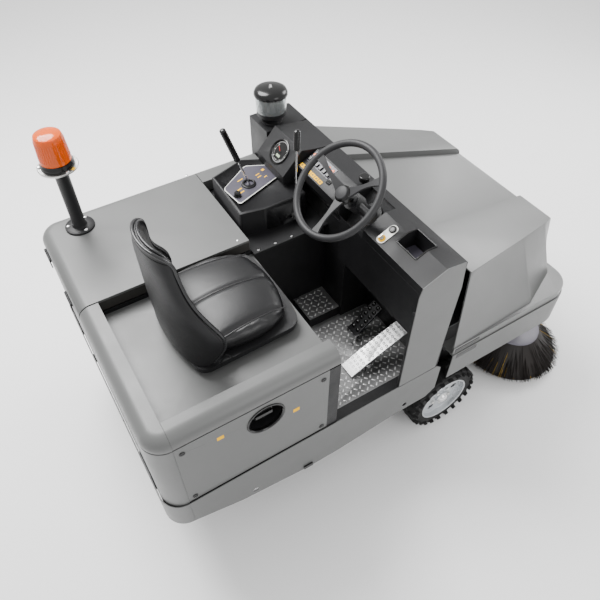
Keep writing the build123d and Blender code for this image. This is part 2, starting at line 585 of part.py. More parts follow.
def gauge_pod():
    """Hooded housing with its round instrument."""
    outer = along_y(pod_profile(0), (220, 444))
    hollow = along_y(pod_profile(SHEET), (220 + SHEET, 444 - SHEET))
    mouth = block((72, 180), (230, 434), (DASH_Z[0] - 1, DASH_Z[0] + 12))
    cup = extrude(gauge_plane(-14) * Circle(56), amount=40) & outer
    pod = fuse(outer - hollow - mouth, cup) - extrude(gauge_plane(-10) * Circle(52), amount=60)
    return fuse(pod, extrude(gauge_plane(-11) * Circle(46), amount=5))


def ignition_key():
    barrel = extrude(dash_slope_plane(KEY_AT, GAP, PLATE_Y) * Circle(8.5), amount=10)
    return fuse(barrel, extrude(dash_slope_plane(KEY_AT, 10, PLATE_Y) * Rectangle(20, 4), amount=14))


def horn_button():
    return extrude(dash_slope_plane(HORN_AT, 1.3, PLATE_Y) * Circle(8.5), amount=8)


def rocker_switch():
    slope = dash_slope_plane(ROCKER_AT, 0, ROCKER_Y + 12)
    plane = Plane(origin=slope.origin, x_dir=slope.x_dir, z_dir=(0, -1, 0))
    return extrude(plane * outline((-18, -2), (-18, 5), (0, 2), (18, 5), (18, -2), (0, -9.5)), amount=24)


def dash_knob():
    """Pull knob behind the steering wheel."""
    cap = fillet(post(KNOB_XY, (1246, 1268), 22).edges().sort_by(Axis.Z)[-1], 6)
    return fuse(post(KNOB_XY, (1203, 1247), 8), cap)


def steering_column():
    """Column tube with its foot flange, collar and indicator switch housing."""
    tube = extrude(steer_plane(COLUMN_FOOT) * Circle(24), amount=COLUMN_FOOT - 96)
    flange = extrude(steer_plane(COLUMN_FOOT) * Circle(46), amount=8)
    collar = extrude(steer_plane(150) * Circle(36), amount=50)
    c = steer_plane(125).origin
    switch = rod((c.X, c.Y, c.Z), (c.X, c.Y - 86, c.Z), 17)
    knob = rod((c.X, c.Y - 86, c.Z), (c.X, c.Y - 112, c.Z), 22)
    return fuse(tube, flange, collar, switch, knob) - extrude(steer_plane(160) * Circle(10 + FIT), amount=70)


def steering_wheel():
    """Rim, three spokes, hub and shaft."""
    plane = steer_plane(0)
    profile = Plane(origin=plane.origin, x_dir=plane.x_dir, z_dir=plane.x_dir.cross(plane.z_dir))
    rim = revolve(profile * (Pos(STEER_R, 0) * Circle(STEER_GRIP_R)), axis=Axis(plane.origin, plane.z_dir))
    hub = extrude(steer_plane(54) * Circle(36), amount=26)
    cap = extrude(steer_plane(28) * Circle(28), amount=8)
    shaft = extrude(steer_plane(124) * Circle(10), amount=72)
    spokes = []
    for angle in (75, 195, 315):
        radial = plane.x_dir * math.cos(math.radians(angle)) + plane.y_dir * math.sin(math.radians(angle))
        a = steer_plane(40).origin + radial * 26
        b = plane.origin + radial * (STEER_R - 4)
        section = Plane(origin=a, z_dir=b - a, x_dir=plane.z_dir.cross(radial)) * Rectangle(30, 11)
        spokes.append(extrude(section, amount=(b - a).length))
    return fuse(rim, hub, cap, shaft, *spokes)


def drive_pedal():
    """Long rocking treadle with a heel plate."""
    x, z = DRIVE_PIVOT
    tread = along_y(outline((-118, 520), (-112, 516), (-34, 552), (172, 640), (170, 646), (-38, 560)), DRIVE_Y)
    lug = along_y(outline((x - 10, z - 8), (x + 10, z - 8), (x + 12, z + 30), (x - 12, z + 16)),
                  (DRIVE_Y[0] + 10, DRIVE_Y[1] - 10))
    return fuse(tread, lug, cross_rod(DRIVE_PIVOT, (DRIVE_Y[0] - 8, DRIVE_Y[1] + 8), PEDAL_PIN_R))


def brake_pedal():
    tread = along_y(outline((26, 534), (36, 528), (165, 636), (159, 644)), BRAKE_Y)
    return fuse(tread, cross_rod(BRAKE_PIVOT, (BRAKE_Y[0] - 8, BRAKE_Y[1] + 8), PEDAL_PIN_R))


# ---------------------------------------------------------------- seat
def seat_pan():
    """Seat base with its two sliding shoes."""
    z = SEAT_BASE_Z
    shoes = [block((SEAT_X[0] + 90, SEAT_X[1] - 90), (c - 12, c + 12), (z, z + 12)) for c in (SEAT_Y - 150, SEAT_Y + 150)]
    y0, y1 = SEAT_Y - SEAT_HALF, SEAT_Y + SEAT_HALF
    plan = outline((SEAT_X[0], y0), (SEAT_X[1] - 20, y0 + 10), (SEAT_X[1], SEAT_Y - 120), (SEAT_X[1], SEAT_Y + 120),
                   (SEAT_X[1] - 20, y1 - 10), (SEAT_X[0], y1))
    return fuse(along_z(plan, (z + 12, z + 34)), *shoes)


def seat_cushion():
    z = SEAT_BASE_Z + 34
    pad = block((SEAT_X[0] + 92, SEAT_X[1] - 8), (SEAT_Y - SEAT_HALF + 10, SEAT_Y + SEAT_HALF - 10), (z, z + 96))
    pad = fillet(pad.edges().filter_by(Axis.Z), 60)
    return fillet(pad.faces().sort_by(Axis.Z)[-1].edges(), 26)


def seat_back():
    """Backrest: shoulders that taper to a rounded top."""
    low, top = SEAT_BASE_Z + 34, SEAT_TOP_Z
    x, y0, y1 = SEAT_X[0], SEAT_Y - SEAT_HALF, SEAT_Y + SEAT_HALF
    side = outline((x, low), (x - 45, top), (x + 20, top), (x + 60, top - 60), (x + 88, low + 110), (x + 88, low))
    view = outline((y0, low), (y0 - 8, low + 190), (SEAT_Y - 130, top - 50), (SEAT_Y - 90, top), (SEAT_Y + 90, top),
                   (SEAT_Y + 130, top - 50), (y1 + 8, low + 190), (y1, low))
    return along_y(side, (y0 - 10, y1 + 10)) & along_x(view, (x - 100, x + 200))


# ---------------------------------------------------------------- wheels
def wheel_section(x, y, section):
    """A section (offset across the wheel, radius) turned about the axle."""
    plane = Plane(origin=(x, y, WHEEL_R), x_dir=(0, 1, 0), z_dir=(1, 0, 0))
    return revolve(plane * section, axis=Axis((x, y, WHEEL_R), (0, 1, 0)))


def tyre(x, y):
    w = TYRE_WIDTH / 2
    return wheel_section(x, y, outline((-w, RIM_R), (-w, WHEEL_R - 18), (-w + 20, WHEEL_R), (w - 20, WHEEL_R),
                                       (w, WHEEL_R - 18), (w, RIM_R)))


def rim(x, y, outward):
    """Rim barrel with a disc near its outer side, five holes and a hub."""
    w = TYRE_WIDTH / 2
    barrel = wheel_section(x, y, outline((-w, RIM_R - 7), (-w, RIM_R), (w, RIM_R), (w, RIM_R - 7)))
    disc = cross_rod((x, WHEEL_R), (y + outward * 22 - 4, y + outward * 22 + 4), RIM_R - 6)
    shape = fuse(barrel, disc, cross_rod((x, WHEEL_R), (y - 40, y + 40), 34))
    for k in range(5):
        a = math.radians(90 + 72 * k)
        shape -= cross_rod((x + 82 * math.cos(a), WHEEL_R + 82 * math.sin(a)), (y - 60, y + 60), 17)
    return shape - cross_rod((x, WHEEL_R), (y - 70, y + 70), AXLE_R + FIT)


def rear_wheel():
    """Drive wheel: solid tyre bonded to its disc."""
    return fuse(tyre(REAR_AXLE_X, 0), rim(REAR_AXLE_X, 0, 0))


def rear_fork():
    """Steered fork with kingpin, axle and drive motor."""
    w = TYRE_WIDTH / 2
    axle = (REAR_AXLE_X, WHEEL_R)
    king = post((REAR_AXLE_X, 0), (412, RAIL_Z[1] - 2), 30)
    crown = post((REAR_AXLE_X, 0), (400, 414), 110)
    leg = block((REAR_AXLE_X - 32, REAR_AXLE_X + 32), (w + 8, w + 20), (WHEEL_R - 32, 402))
    return fuse(king, crown, both_sides(leg), cross_rod(axle, (-w - 22, w + 22), AXLE_R),
                cross_rod(axle, (w + 20, w + 70), 48))


# ---------------------------------------------------------------- brushes
def main_brush_arms():
    """Side arms joined by a tie bar."""
    x, z = MAIN_BRUSH_X, MAIN_AXLE_Z
    px, pz = MAIN_PIVOT
    arm = along_y(outline((px - 18, pz - 18), (px - 18, pz + 18), (px + 30, pz + 20), (x + 24, z + 24), (x + 24, z - 24),
                          (x - 24, z - 24)), (482, 492))
    one = fuse(arm, cross_rod(MAIN_PIVOT, (455, 492), 10)) - cross_rod((x, z), (470, 500), 14 + FIT)
    return fuse(both_sides(one), cross_rod((px + 60, 318), (-485, 485), 12))


def main_brush():
    """Cylindrical brush on its shaft."""
    axle = (MAIN_BRUSH_X, MAIN_AXLE_Z)
    return fuse(cross_rod(axle, (-MAIN_BRUSH_HALF, MAIN_BRUSH_HALF), MAIN_BRUSH_R), cross_rod(axle, (-491, 491), 14))


def brush_plane(lift=0.0):
    """Plane of the side brush's disc, tilted down towards its outer front edge."""
    tilt = math.radians(SIDE_BRUSH_TILT)
    lean = Vector(1, -0.6, 0).normalized() * math.sin(tilt)
    normal = Vector(lean.X, lean.Y, math.cos(tilt))
    return Plane(origin=Vector(*SIDE_BRUSH) + normal * lift, z_dir=normal, x_dir=(math.cos(tilt), 0, -lean.X))


def side_brush_arm():
    """Swing arm, motor plate, hydraulic motor and its shaft."""
    px, pz = SIDE_PIVOT
    bx, by = SIDE_BRUSH[:2]
    beam = along_y(outline((px - 22, pz - 22), (px - 22, pz + 22), (bx - 20, pz + 18), (bx + 50, pz), (bx + 50, pz - 20),
                           (bx - 30, pz - 22)), (-500, -480))
    plate = block((bx - 55, bx + 55), (by - 60, by + 55), (pz - 20, pz - 8))
    motor = extrude(brush_plane(30) * Circle(46), amount=116)
    shaft = extrude(brush_plane(-12) * Circle(12), amount=60)
    return fuse(cross_rod(SIDE_PIVOT, (-500, -467), 12), beam, plate, motor, shaft)


def side_brush_hub():
    return extrude(brush_plane(-14) * Circle(SIDE_HUB_R), amount=22) - extrude(brush_plane(-20) * Circle(12 + FIT), amount=50)


def side_brush_bristles():
    """Skirt of bristles: a conical ring from the disc's underside down to the floor."""
    plane = brush_plane()
    drop = 146.0
    section = outline((SIDE_HUB_R - 50, -14), (SIDE_HUB_R - 6, -14), (SIDE_BRUSH_R, -drop + 22), (SIDE_BRUSH_R - 16, -drop),
                      (SIDE_HUB_R - 10, -70))
    cut = Plane(origin=plane.origin, x_dir=plane.x_dir, z_dir=plane.x_dir.cross(plane.z_dir))
    return revolve(cut * section, axis=Axis(plane.origin, plane.z_dir))


# ---------------------------------------------------------------- hopper
def lift_arms():
    """The two lift arms, right and left."""
    middle = Pos((LIFT_A[0] + LIFT_B[0]) / 2, (LIFT_A[1] + LIFT_B[1]) / 2) * Rot(0, 0, -ARM_ANGLE)
    arm = along_y(middle * SlotCenterToCenter(ARM_LENGTH, 2 * ARM_HALF), (ARM_Y - ARM_THICK / 2, ARM_Y + ARM_THICK / 2))
    arm = fuse(arm, *[cross_rod(p, (ARM_Y - 20, ARM_Y + 20), 24) for p in (LIFT_A, LIFT_B)])
    for p in (LIFT_A, LIFT_B):
        arm -= cross_rod(p, (470, 610), 14 + FIT)
    return Compound([arm.solids()[0], mirrored(arm).solids()[0]])


def hopper_bin():
    """Waste bin with a sloping floor that falls to the inlet at its rear foot."""
    shelf = BAND_Z[1] - SHELF_THICK

    def body(i):
        x0, x1 = BIN_X[0] + i, BIN_X[1] - i
        side = outline((x0, 112 + i), (x0, shelf - i), (x1, shelf - i), (x1, 330 + i), (410, 112 + i))
        return along_y(side, (-BIN_HALF + i, BIN_HALF - i))
    shell = body(0) - body(SHEET) - block((BIN_X[0] - 15, BIN_X[0] + 15), (-BIN_HALF + 20, BIN_HALF - 20), (128, 330))
    pin = cross_rod(LIFT_B, (BIN_HALF - SHEET, ARM_Y + 26), 14)
    boss = cross_rod(LIFT_B, (BIN_HALF - SHEET, ARM_Y - 21), 26)
    ear = block((BIN_X[0] + SHEET, FLAP_PIVOT[0] + 11), (BIN_HALF - 35, BIN_HALF - 25), (FLAP_PIVOT[1] - 10, FLAP_PIVOT[1] + 20))
    ear -= cross_rod(FLAP_PIVOT, (0, BIN_HALF), 6 + FIT)
    return fuse(shell, both_sides(pin), both_sides(boss), both_sides(ear))


def hopper_flap():
    """Flap inside the bin that closes the inlet while the hopper is raised."""
    x, z = FLAP_PIVOT
    plate = block((x, x + 215), (-BIN_HALF + 40, BIN_HALF - 40), (z - 2, z + 2))
    return fuse(plate, cross_rod(FLAP_PIVOT, (-BIN_HALF + 25, BIN_HALF - 25), 6))


def hopper_band():
    """Grey skirt round the hopper with the shelf that carries the hood."""
    def plan(i):
        side, front = HALF_WIDTH - i, FRONT_X - i
        face = outline((HOPPER_REAR_X, -side), (front, -side), (front, side), (HOPPER_REAR_X, side))
        return fillet(face.vertices().sort_by(Axis.X)[-2:], 120 - i)
    shape = along_z(plan(0), BAND_Z) - along_z(plan(SHEET), (BAND_Z[0] - 1, BAND_Z[1] - SHELF_THICK))
    slot = block((HOPPER_REAR_X - 1, 560), (ARM_Y - 26, ARM_Y + 26), (500, 700))
    return shape - slot - mirrored(slot)


def filter_box():
    """Dust filter housing with the suction fan on top."""
    box = block((340, 800), (-400, 400), (BAND_Z[1], 860))
    box -= block((340 + SHEET, 800 - SHEET), (-400 + SHEET, 400 - SHEET), (BAND_Z[1] - 1, 860 - SHEET))
    return fuse(box, post((560, 0), (860, 930), 120))


def hood_top(x):
    """Height of the hood's shoulders, which fall towards the front."""
    return HOOD_REAR_Z - (HOOD_REAR_Z - HOOD_FRONT_Z) / (985 - HOPPER_REAR_X) * (x - HOPPER_REAR_X)


def hood_body(i):
    """Upper body of the hood, with an inset: from its waist to its sloping top."""
    start = HOPPER_REAR_X - min(i, 1)
    low = [(start, 612 - i), (760, 598 - i), (980 - i, 500 - i), (1026 - i, 420 - i)]
    high = [(start, 581 - i), (700, 484 - i), (900 - i, 434 - i), (985 - i, 402 - i)]
    waist = [(x, y, HOOD_Z[1] - min(i, 1)) for x, y in low]
    crown = [(x, y, hood_top(x) - i) for x, y in high]
    faces = [make_face(Polyline(*[(x, -y, z) for x, y, z in edge], *reversed(edge), close=True)) for edge in (waist, crown)]
    return loft(faces, ruled=True)


def hood_foot(i, z):
    """The hood's upright lower edge, with an inset."""
    start, side, front = HOPPER_REAR_X - min(i, 1), BODY_HALF - i, 1030 - i
    face = outline((start, -side), (front, -side), (front, side), (start, side))
    return along_z(fillet(face.vertices().sort_by(Axis.X)[-2:], 112 - i), z)


def hood():
    """Grey hood: raised shoulders either side of a shallow channel that falls to the front."""
    plan = outline((280, -300), (1100, -205), (1100, 205), (280, 300))
    drop = outline((280, hood_top(280) - CHANNEL_DEPTH), (1100, hood_top(1100) - CHANNEL_DEPTH), (1100, 1300), (280, 1300))
    channel = along_z(plan, (800, 1300)) & along_y(drop, (-400, 400))
    under = channel.moved(Location((0, 0, -HOOD_WALL)))
    under = under.fuse(under.moved(Location((0, HOOD_WALL, 0))), under.moved(Location((0, -HOOD_WALL, 0))))
    outer = fuse(hood_body(0), hood_foot(0, HOOD_Z)) - channel
    mouth = along_z(outline((HOPPER_REAR_X - 1, -600), (740, -588), (965, -488), (1014, -408), (1014, 408), (965, 488),
                            (740, 588), (HOPPER_REAR_X - 1, 600)), HOOD_Z)
    return outer - hood_foot(HOOD_WALL, (HOOD_Z[0] - 1, HOOD_Z[1] - HOOD_WALL)) - mouth - (hood_body(HOOD_WALL) - under)


# ---------------------------------------------------------------- the nodes
NODES = {
    "frame": frame,
    "front_carriers": front_carriers,
    "skirt_right": lambda: skirt(-1),
    "skirt_left": lambda: skirt(1),
    "rear_bumper": rear_bumper,
    "rear_panel": rear_panel,
    "side_panel_right": side_panel_right,
    "side_panel_left": side_panel_left,
    "bay_walls": bay_walls,
    "seat_deck": seat_deck,
    "deck_rail_side": deck_rail_side,
    "deck_rail_rear": deck_rail_rear,
    "sill": sill,
    "engine": engine,
    "fuel_tank": fuel_tank,
    "floor_plate": floor_plate,
    "footwell_side_wall": footwell_side_wall,
    "firewall": firewall,
    "column_tower": column_tower,
    "dash_console": dash_console,
    "dash_end_plate": dash_end_plate,
    "instrument_box": instrument_box,
    "air_cleaner": air_cleaner,
    "left_deck": left_deck,
    "lever_console": lever_console,
    "gauge_pod": gauge_pod,
    "steering_column": steering_column,
    "engine_cover": engine_cover,
    "beacon_mast": beacon_mast,
    "beacon_lens": beacon_lens,
    "steering_wheel": steering_wheel,
    "gate_lever": gate_lever,
    "selector_lever": selector_lever,
    "drive_pedal": drive_pedal,
    "brake_pedal": brake_pedal,
    "ignition_key": ignition_key,
    "horn_button": horn_button,
    "rocker_switch": rocker_switch,
    "dash_knob": dash_knob,
    "fuel_cap": fuel_cap,
    "seat_pan": seat_pan,
    "seat_cushion": seat_cushion,
    "seat_back": seat_back,
    "front_tyre_right": lambda: tyre(FRONT_AXLE_X, -FRONT_TYRE_Y),
    "front_rim_right": lambda: rim(FRONT_AXLE_X, -FRONT_TYRE_Y, -1),
    "front_tyre_left": lambda: tyre(FRONT_AXLE_X, FRONT_TYRE_Y),
    "front_rim_left": lambda: rim(FRONT_AXLE_X, FRONT_TYRE_Y, 1),
    "rear_fork": rear_fork,
    "rear_wheel": rear_wheel,
    "main_brush_arms": main_brush_arms,
    "main_brush": main_brush,
    "side_brush_arm": side_brush_arm,
    "side_brush_hub": side_brush_hub,
    "side_brush_bristles": side_brush_bristles,
    "lift_arms": lift_arms,
    "hopper_bin": hopper_bin,
    "hopper_flap": hopper_flap,
    "hopper_band": hopper_band,
    "filter_box": filter_box,
    "hood": hood,
}


def main():
    os.makedirs("parts", exist_ok=True)
    shapes = {name: make() for name, make in NODES.items()}
    boxes = [shape.bounding_box() for shape in shapes.values()]
    x = (min(b.min.X for b in boxes) + max(b.max.X for b in boxes)) / 2
    y = (min(b.min.Y for b in boxes) + max(b.max.Y for b in boxes)) / 2
    low = min(b.min.Z for b in boxes)
    shift = Location((-x, -y, -low))
    print("shift", round(-x, 3), round(-y, 3), round(-low, 3))
    for name, shape in shapes.items():
        solids = [solid.moved(shift) for solid in shape.solids()]
        piece = solids[0] if len(solids) == 1 else Compound(solids)
        export_step(piece, f"parts/{name}.step")
        print(name, len(solids), round(sum(s.volume for s in solids) / 1000, 1))


if __name__ == "__main__":
    main()
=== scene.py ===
# %% [markdown]
# A ride-on floor sweeper, finished over its CAD frame.
# The frame holds every piece in its true place. This script loads it, gives each piece its edges and its finish,
# and adds the small things that make the machine real: stitching, lugs, bristles, dials, screws and grips.

import json
import math
import random

import bmesh
import bpy
from mathutils import Matrix, Vector

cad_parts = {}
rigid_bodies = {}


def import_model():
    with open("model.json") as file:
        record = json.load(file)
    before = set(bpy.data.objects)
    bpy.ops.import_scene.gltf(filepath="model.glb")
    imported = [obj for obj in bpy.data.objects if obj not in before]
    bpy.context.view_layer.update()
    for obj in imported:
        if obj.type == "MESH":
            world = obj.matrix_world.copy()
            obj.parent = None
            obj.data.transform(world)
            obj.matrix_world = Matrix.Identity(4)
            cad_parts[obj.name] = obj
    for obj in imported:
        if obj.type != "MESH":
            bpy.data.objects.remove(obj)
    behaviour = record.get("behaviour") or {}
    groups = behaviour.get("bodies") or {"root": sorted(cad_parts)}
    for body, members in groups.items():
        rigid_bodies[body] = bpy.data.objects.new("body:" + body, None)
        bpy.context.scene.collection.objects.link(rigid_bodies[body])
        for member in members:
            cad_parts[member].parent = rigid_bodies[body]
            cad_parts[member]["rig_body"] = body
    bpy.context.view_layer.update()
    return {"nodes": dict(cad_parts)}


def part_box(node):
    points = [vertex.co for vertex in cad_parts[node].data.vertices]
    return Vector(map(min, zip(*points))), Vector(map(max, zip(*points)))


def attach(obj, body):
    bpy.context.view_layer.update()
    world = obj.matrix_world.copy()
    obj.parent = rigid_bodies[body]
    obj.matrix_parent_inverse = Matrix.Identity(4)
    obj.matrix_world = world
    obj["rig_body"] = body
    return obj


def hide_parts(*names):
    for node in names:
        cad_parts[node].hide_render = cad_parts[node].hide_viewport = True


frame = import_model()
random.seed(7)

# %% [markdown]
# The maker's drawing counts in millimetres from the front axle's centre line, while the frame's origin lies under
# the whole footprint. One corner known in both, the front left corner of the hopper's skirt, gives the shift.

# %% Machine millimetres to frame metres
SHIFT = Vector(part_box("hopper_band")[1]) - Vector((1.040, 0.621, 0.596))
MM = 0.001


def at(x, y, z):
    return Vector((x, y, z)) * MM + SHIFT


print("shift", tuple(round(v, 4) for v in SHIFT))

# %% [markdown]
# Finishes. Nothing on a working machine is one flat colour: paint has a fine orange peel and cloudy gloss, moulded
# plastic has a grain, rubber is dusty in its hollows. One recipe covers most of them. A fine noise makes the
# grain, a broad noise clouds the colour and the gloss, and both read Object coordinates so that they stay put.

# %% The recipe for a finish
def linear(r, g, b):
    return tuple((c / 12.92 if c <= 0.04045 else ((c + 0.055) / 1.055) ** 2.4) for c in (r, g, b)) + (1.0,)


def finish(name, colour, rough, metal=0.0, grain=900.0, bump=0.15, cloud=0.08, rub=0.10, coat=0.0, stretch=(1, 1, 1),
           shine=0.5):
    mat = bpy.data.materials.new(name)
    mat.use_nodes = True
    tree = mat.node_tree
    shader = tree.nodes["Principled BSDF"]
    shader.inputs["Specular IOR Level"].default_value = shine
    shader.inputs["Metallic"].default_value = metal
    shader.inputs["Coat Weight"].default_value = coat
    shader.inputs["Coat Roughness"].default_value = 0.25
    coords = tree.nodes.new("ShaderNodeTexCoord")
    turn = tree.nodes.new("ShaderNodeMapping")
    turn.inputs["Scale"].default_value = stretch
    tree.links.new(coords.outputs["Object"], turn.inputs["Vector"])
    fine = tree.nodes.new("ShaderNodeTexNoise")
    fine.inputs["Scale"].default_value = grain
    fine.inputs["Detail"].default_value = 3.0
    broad = tree.nodes.new("ShaderNodeTexNoise")
    broad.inputs["Scale"].default_value = 7.0
    broad.inputs["Detail"].default_value = 8.0
    broad.inputs["Roughness"].default_value = 0.6
    for noise in (fine, broad):
        tree.links.new(turn.outputs["Vector"], noise.inputs["Vector"])
    ramp = tree.nodes.new("ShaderNodeValToRGB")
    ramp.color_ramp.elements[0].position = 0.25
    ramp.color_ramp.elements[1].position = 0.75
    ramp.color_ramp.elements[0].color = tuple(c * (1 - cloud) for c in colour[:3]) + (1.0,)
    ramp.color_ramp.elements[1].color = tuple(min(1.0, c * (1 + cloud)) for c in colour[:3]) + (1.0,)
    tree.links.new(broad.outputs["Fac"], ramp.inputs["Fac"])
    tree.links.new(ramp.outputs["Color"], shader.inputs["Base Color"])
    gloss = tree.nodes.new("ShaderNodeMapRange")
    gloss.inputs["From Min"].default_value = 0.3
    gloss.inputs["From Max"].default_value = 0.7
    gloss.inputs["To Min"].default_value = max(0.04, rough - rub)
    gloss.inputs["To Max"].default_value = min(1.0, rough + rub)
    tree.links.new(broad.outputs["Fac"], gloss.inputs["Value"])
    tree.links.new(gloss.outputs["Result"], shader.inputs["Roughness"])
    relief = tree.nodes.new("ShaderNodeBump")
    relief.inputs["Strength"].default_value = bump
    relief.inputs["Distance"].default_value = 0.0006
    tree.links.new(fine.outputs["Fac"], relief.inputs["Height"])
    tree.links.new(relief.outputs["Normal"], shader.inputs["Normal"])
    return mat


def clear(name, colour, rough, bump=0.1, grain=300.0):
    mat = finish(name, colour, rough, bump=bump, grain=grain, cloud=0.04, rub=0.03)
    shader = mat.node_tree.nodes["Principled BSDF"]
    shader.inputs["Transmission Weight"].default_value = 0.85
    shader.inputs["IOR"].default_value = 1.46
    return mat


body_paint = finish("grey body paint", linear(0.355, 0.358, 0.355), 0.42, grain=1400, bump=0.10, cloud=0.035, rub=0.05, coat=0.06)
hood_paint = finish("hood moulding", linear(0.375, 0.378, 0.375), 0.38, grain=1100, bump=0.12, cloud=0.03, rub=0.05, coat=0.08)
frame_paint = finish("black frame paint", linear(0.085, 0.085, 0.09), 0.5, bump=0.2, cloud=0.2, shine=0.3)
powder = finish("black powder coat", linear(0.085, 0.085, 0.09), 0.45, grain=1600, bump=0.35, cloud=0.12, shine=0.3)
moulded = finish("black grained moulding", linear(0.09, 0.09, 0.095), 0.42, grain=2200, bump=0.5, cloud=0.1, rub=0.06, shine=0.3)
# Painted shade: a grey between the body grey and black, for the engine cover's side face that turns away from the main
# light.
cover_side_painted_shade = finish("painted shade on cover side", linear(0.20, 0.195, 0.185), 0.5, bump=0.2, shine=0.3)
gloss_black = finish("gloss black plastic", linear(0.05, 0.05, 0.05), 0.2, bump=0.05, cloud=0.1, rub=0.04, shine=0.4)
vinyl = finish("black vinyl", linear(0.075, 0.075, 0.08), 0.34, grain=1500, bump=0.45, cloud=0.1, rub=0.05, shine=0.45)
# The piping's tone, a little lighter than the vinyl, is partly painted highlight along the welts; their lower roughness
# also gives them a real sheen.
piping_vinyl_with_painted_highlight = finish("seat piping with painted highlight", linear(0.12, 0.12, 0.125), 0.26, grain=1500, bump=0.2, cloud=0.1)
rubber = finish("tyre rubber", linear(0.10, 0.10, 0.10), 0.72, grain=500, bump=0.35, cloud=0.25, rub=0.12, shine=0.3)
soft_grip = finish("soft grip", linear(0.15, 0.15, 0.155), 0.5, grain=1200, bump=0.3, cloud=0.1, shine=0.35)
silver = finish("silver wheel paint", linear(0.80, 0.81, 0.82), 0.3, metal=0.75, bump=0.12, cloud=0.06)
bright = finish("bright zinc", linear(0.80, 0.80, 0.79), 0.26, metal=1.0, bump=0.1, cloud=0.08)
chrome = finish("chrome", linear(0.88, 0.88, 0.88), 0.10, metal=1.0, bump=0.03, cloud=0.02, rub=0.04)
tread_metal = finish("tread plate", linear(0.86, 0.86, 0.86), 0.34, metal=0.45, grain=260, bump=0.35, cloud=0.12, rub=0.12)
plate_metal = finish("trodden plate", linear(0.52, 0.52, 0.52), 0.4, metal=0.6, grain=160, bump=0.5, cloud=0.35, rub=0.15)
casting = finish("dark casting", linear(0.22, 0.22, 0.23), 0.6, grain=350, bump=0.6, cloud=0.25)
bristle_dark = finish("dark bristle", linear(0.10, 0.08, 0.07), 0.55, grain=800, bump=0.3, cloud=0.3, shine=0.3)
bristle_yellow = finish("yellow bristle", linear(0.72, 0.58, 0.20), 0.5, grain=800, bump=0.2, cloud=0.2)
hub_paint = finish("brush disc", linear(0.42, 0.41, 0.45), 0.5, grain=700, bump=0.3, cloud=0.12)
yellow = finish("yellow marking", linear(0.95, 0.72, 0.0), 0.5, bump=0.05, cloud=0.05, shine=0.1)
red = finish("red marking", linear(0.75, 0.10, 0.07), 0.35, bump=0.05, cloud=0.05)
orange = finish("warning lamp", linear(0.95, 0.42, 0.05), 0.25, bump=0.05, cloud=0.05)
white = finish("white plate", linear(0.88, 0.88, 0.86), 0.35, bump=0.06, cloud=0.03)
lcd = finish("display", linear(0.62, 0.68, 0.58), 0.15, bump=0.02, cloud=0.04)
plum = finish("lever plate", linear(0.27, 0.26, 0.30), 0.35, grain=1500, bump=0.15, cloud=0.08)
amber = clear("amber lens", linear(1.0, 0.42, 0.0), 0.12)
amber.node_tree.nodes["Principled BSDF"].inputs["Transmission Weight"].default_value = 0.45
bowl_clear = clear("clear bowl", linear(0.86, 0.88, 0.88), 0.06)
print(len(bpy.data.materials), "finishes")

# %% [markdown]
# Making pieces. A bmesh is a mesh in the hand: operators fill it, and `piece` puts it on the bench, smooth where
# it turns gently and sharp where it folds, then hangs it on the body that carries it.

# %% The bench
def piece(name, bm, material, body, bevel=0.0, segments=2, angle=35, subdivide=0, instead_of=()):
    bmesh.ops.recalc_face_normals(bm, faces=bm.faces)
    mesh = bpy.data.meshes.new(name)
    bm.to_mesh(mesh)
    bm.free()
    for face in mesh.polygons:
        face.use_smooth = True
    mesh.set_sharp_from_angle(angle=math.radians(angle))
    obj = bpy.data.objects.new(name.replace(" ", "_"), mesh)
    bpy.context.scene.collection.objects.link(obj)
    mesh.materials.append(material)
    if subdivide:
        smooth = obj.modifiers.new("smooth", "SUBSURF")
        smooth.levels = smooth.render_levels = subdivide
    if bevel:
        round_off = obj.modifiers.new("round off", "BEVEL")
        round_off.width = bevel * MM
        round_off.segments = segments
        round_off.limit_method = "ANGLE"
        round_off.angle_limit = math.radians(30)
        round_off.harden_normals = True
    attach(obj, body)
    if instead_of:
        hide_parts(*instead_of)
    return obj


def move(bm, matrix, verts=None):
    bmesh.ops.transform(bm, matrix=matrix, verts=verts or bm.verts)
    return bm


def join(target, other):
    mesh = bpy.data.meshes.new("joining")
    other.to_mesh(mesh)
    other.free()
    target.from_mesh(mesh)
    bpy.data.meshes.remove(mesh)
    return target


def facing(origin, normal, along=(1, 0, 0)):
    """A place whose local Z is the normal and whose local X lies as near as it can to a direction."""
    z = Vector(normal).normalized()
    x = Vector(along)
    x = (x - z * x.dot(z)).normalized()
    return Matrix.Translation(at(*origin)) @ Matrix((x, z.cross(x), z)).transposed().to_4x4()


def slab(size, place=Matrix.Identity(4), taper=1.0):
    """A box of millimetre sizes standing on its place's plane."""
    bm = bmesh.new()
    bmesh.ops.create_cube(bm, size=1.0)
    move(bm, Matrix.Translation((0, 0, 0.5)))
    move(bm, Matrix.Diagonal((size[0] * MM, size[1] * MM, size[2] * MM, 1)))
    for v in bm.verts:
        if v.co.z > 1e-6:
            v.co.x *= taper
            v.co.y *= taper
    return move(bm, place)


def turned(profile, place, steps=48):
    """A profile of (radius, height) in millimetres spun about its place's Z axis."""
    bm = bmesh.new()
    verts = [bm.verts.new((r * MM, 0, h * MM)) for r, h in profile]
    edges = [bm.edges.new(pair) for pair in zip(verts, verts[1:])]
    if profile[0][0] > 0 and profile[-1][0] > 0:
        edges.append(bm.edges.new((verts[-1], verts[0])))
    bmesh.ops.spin(bm, geom=verts + edges, cent=(0, 0, 0), axis=(0, 0, 1), dvec=(0, 0, 0), angle=2 * math.pi,
                   steps=steps, use_merge=True, use_duplicate=False)
    bmesh.ops.remove_doubles(bm, verts=bm.verts, dist=1e-6)
    return move(bm, place)


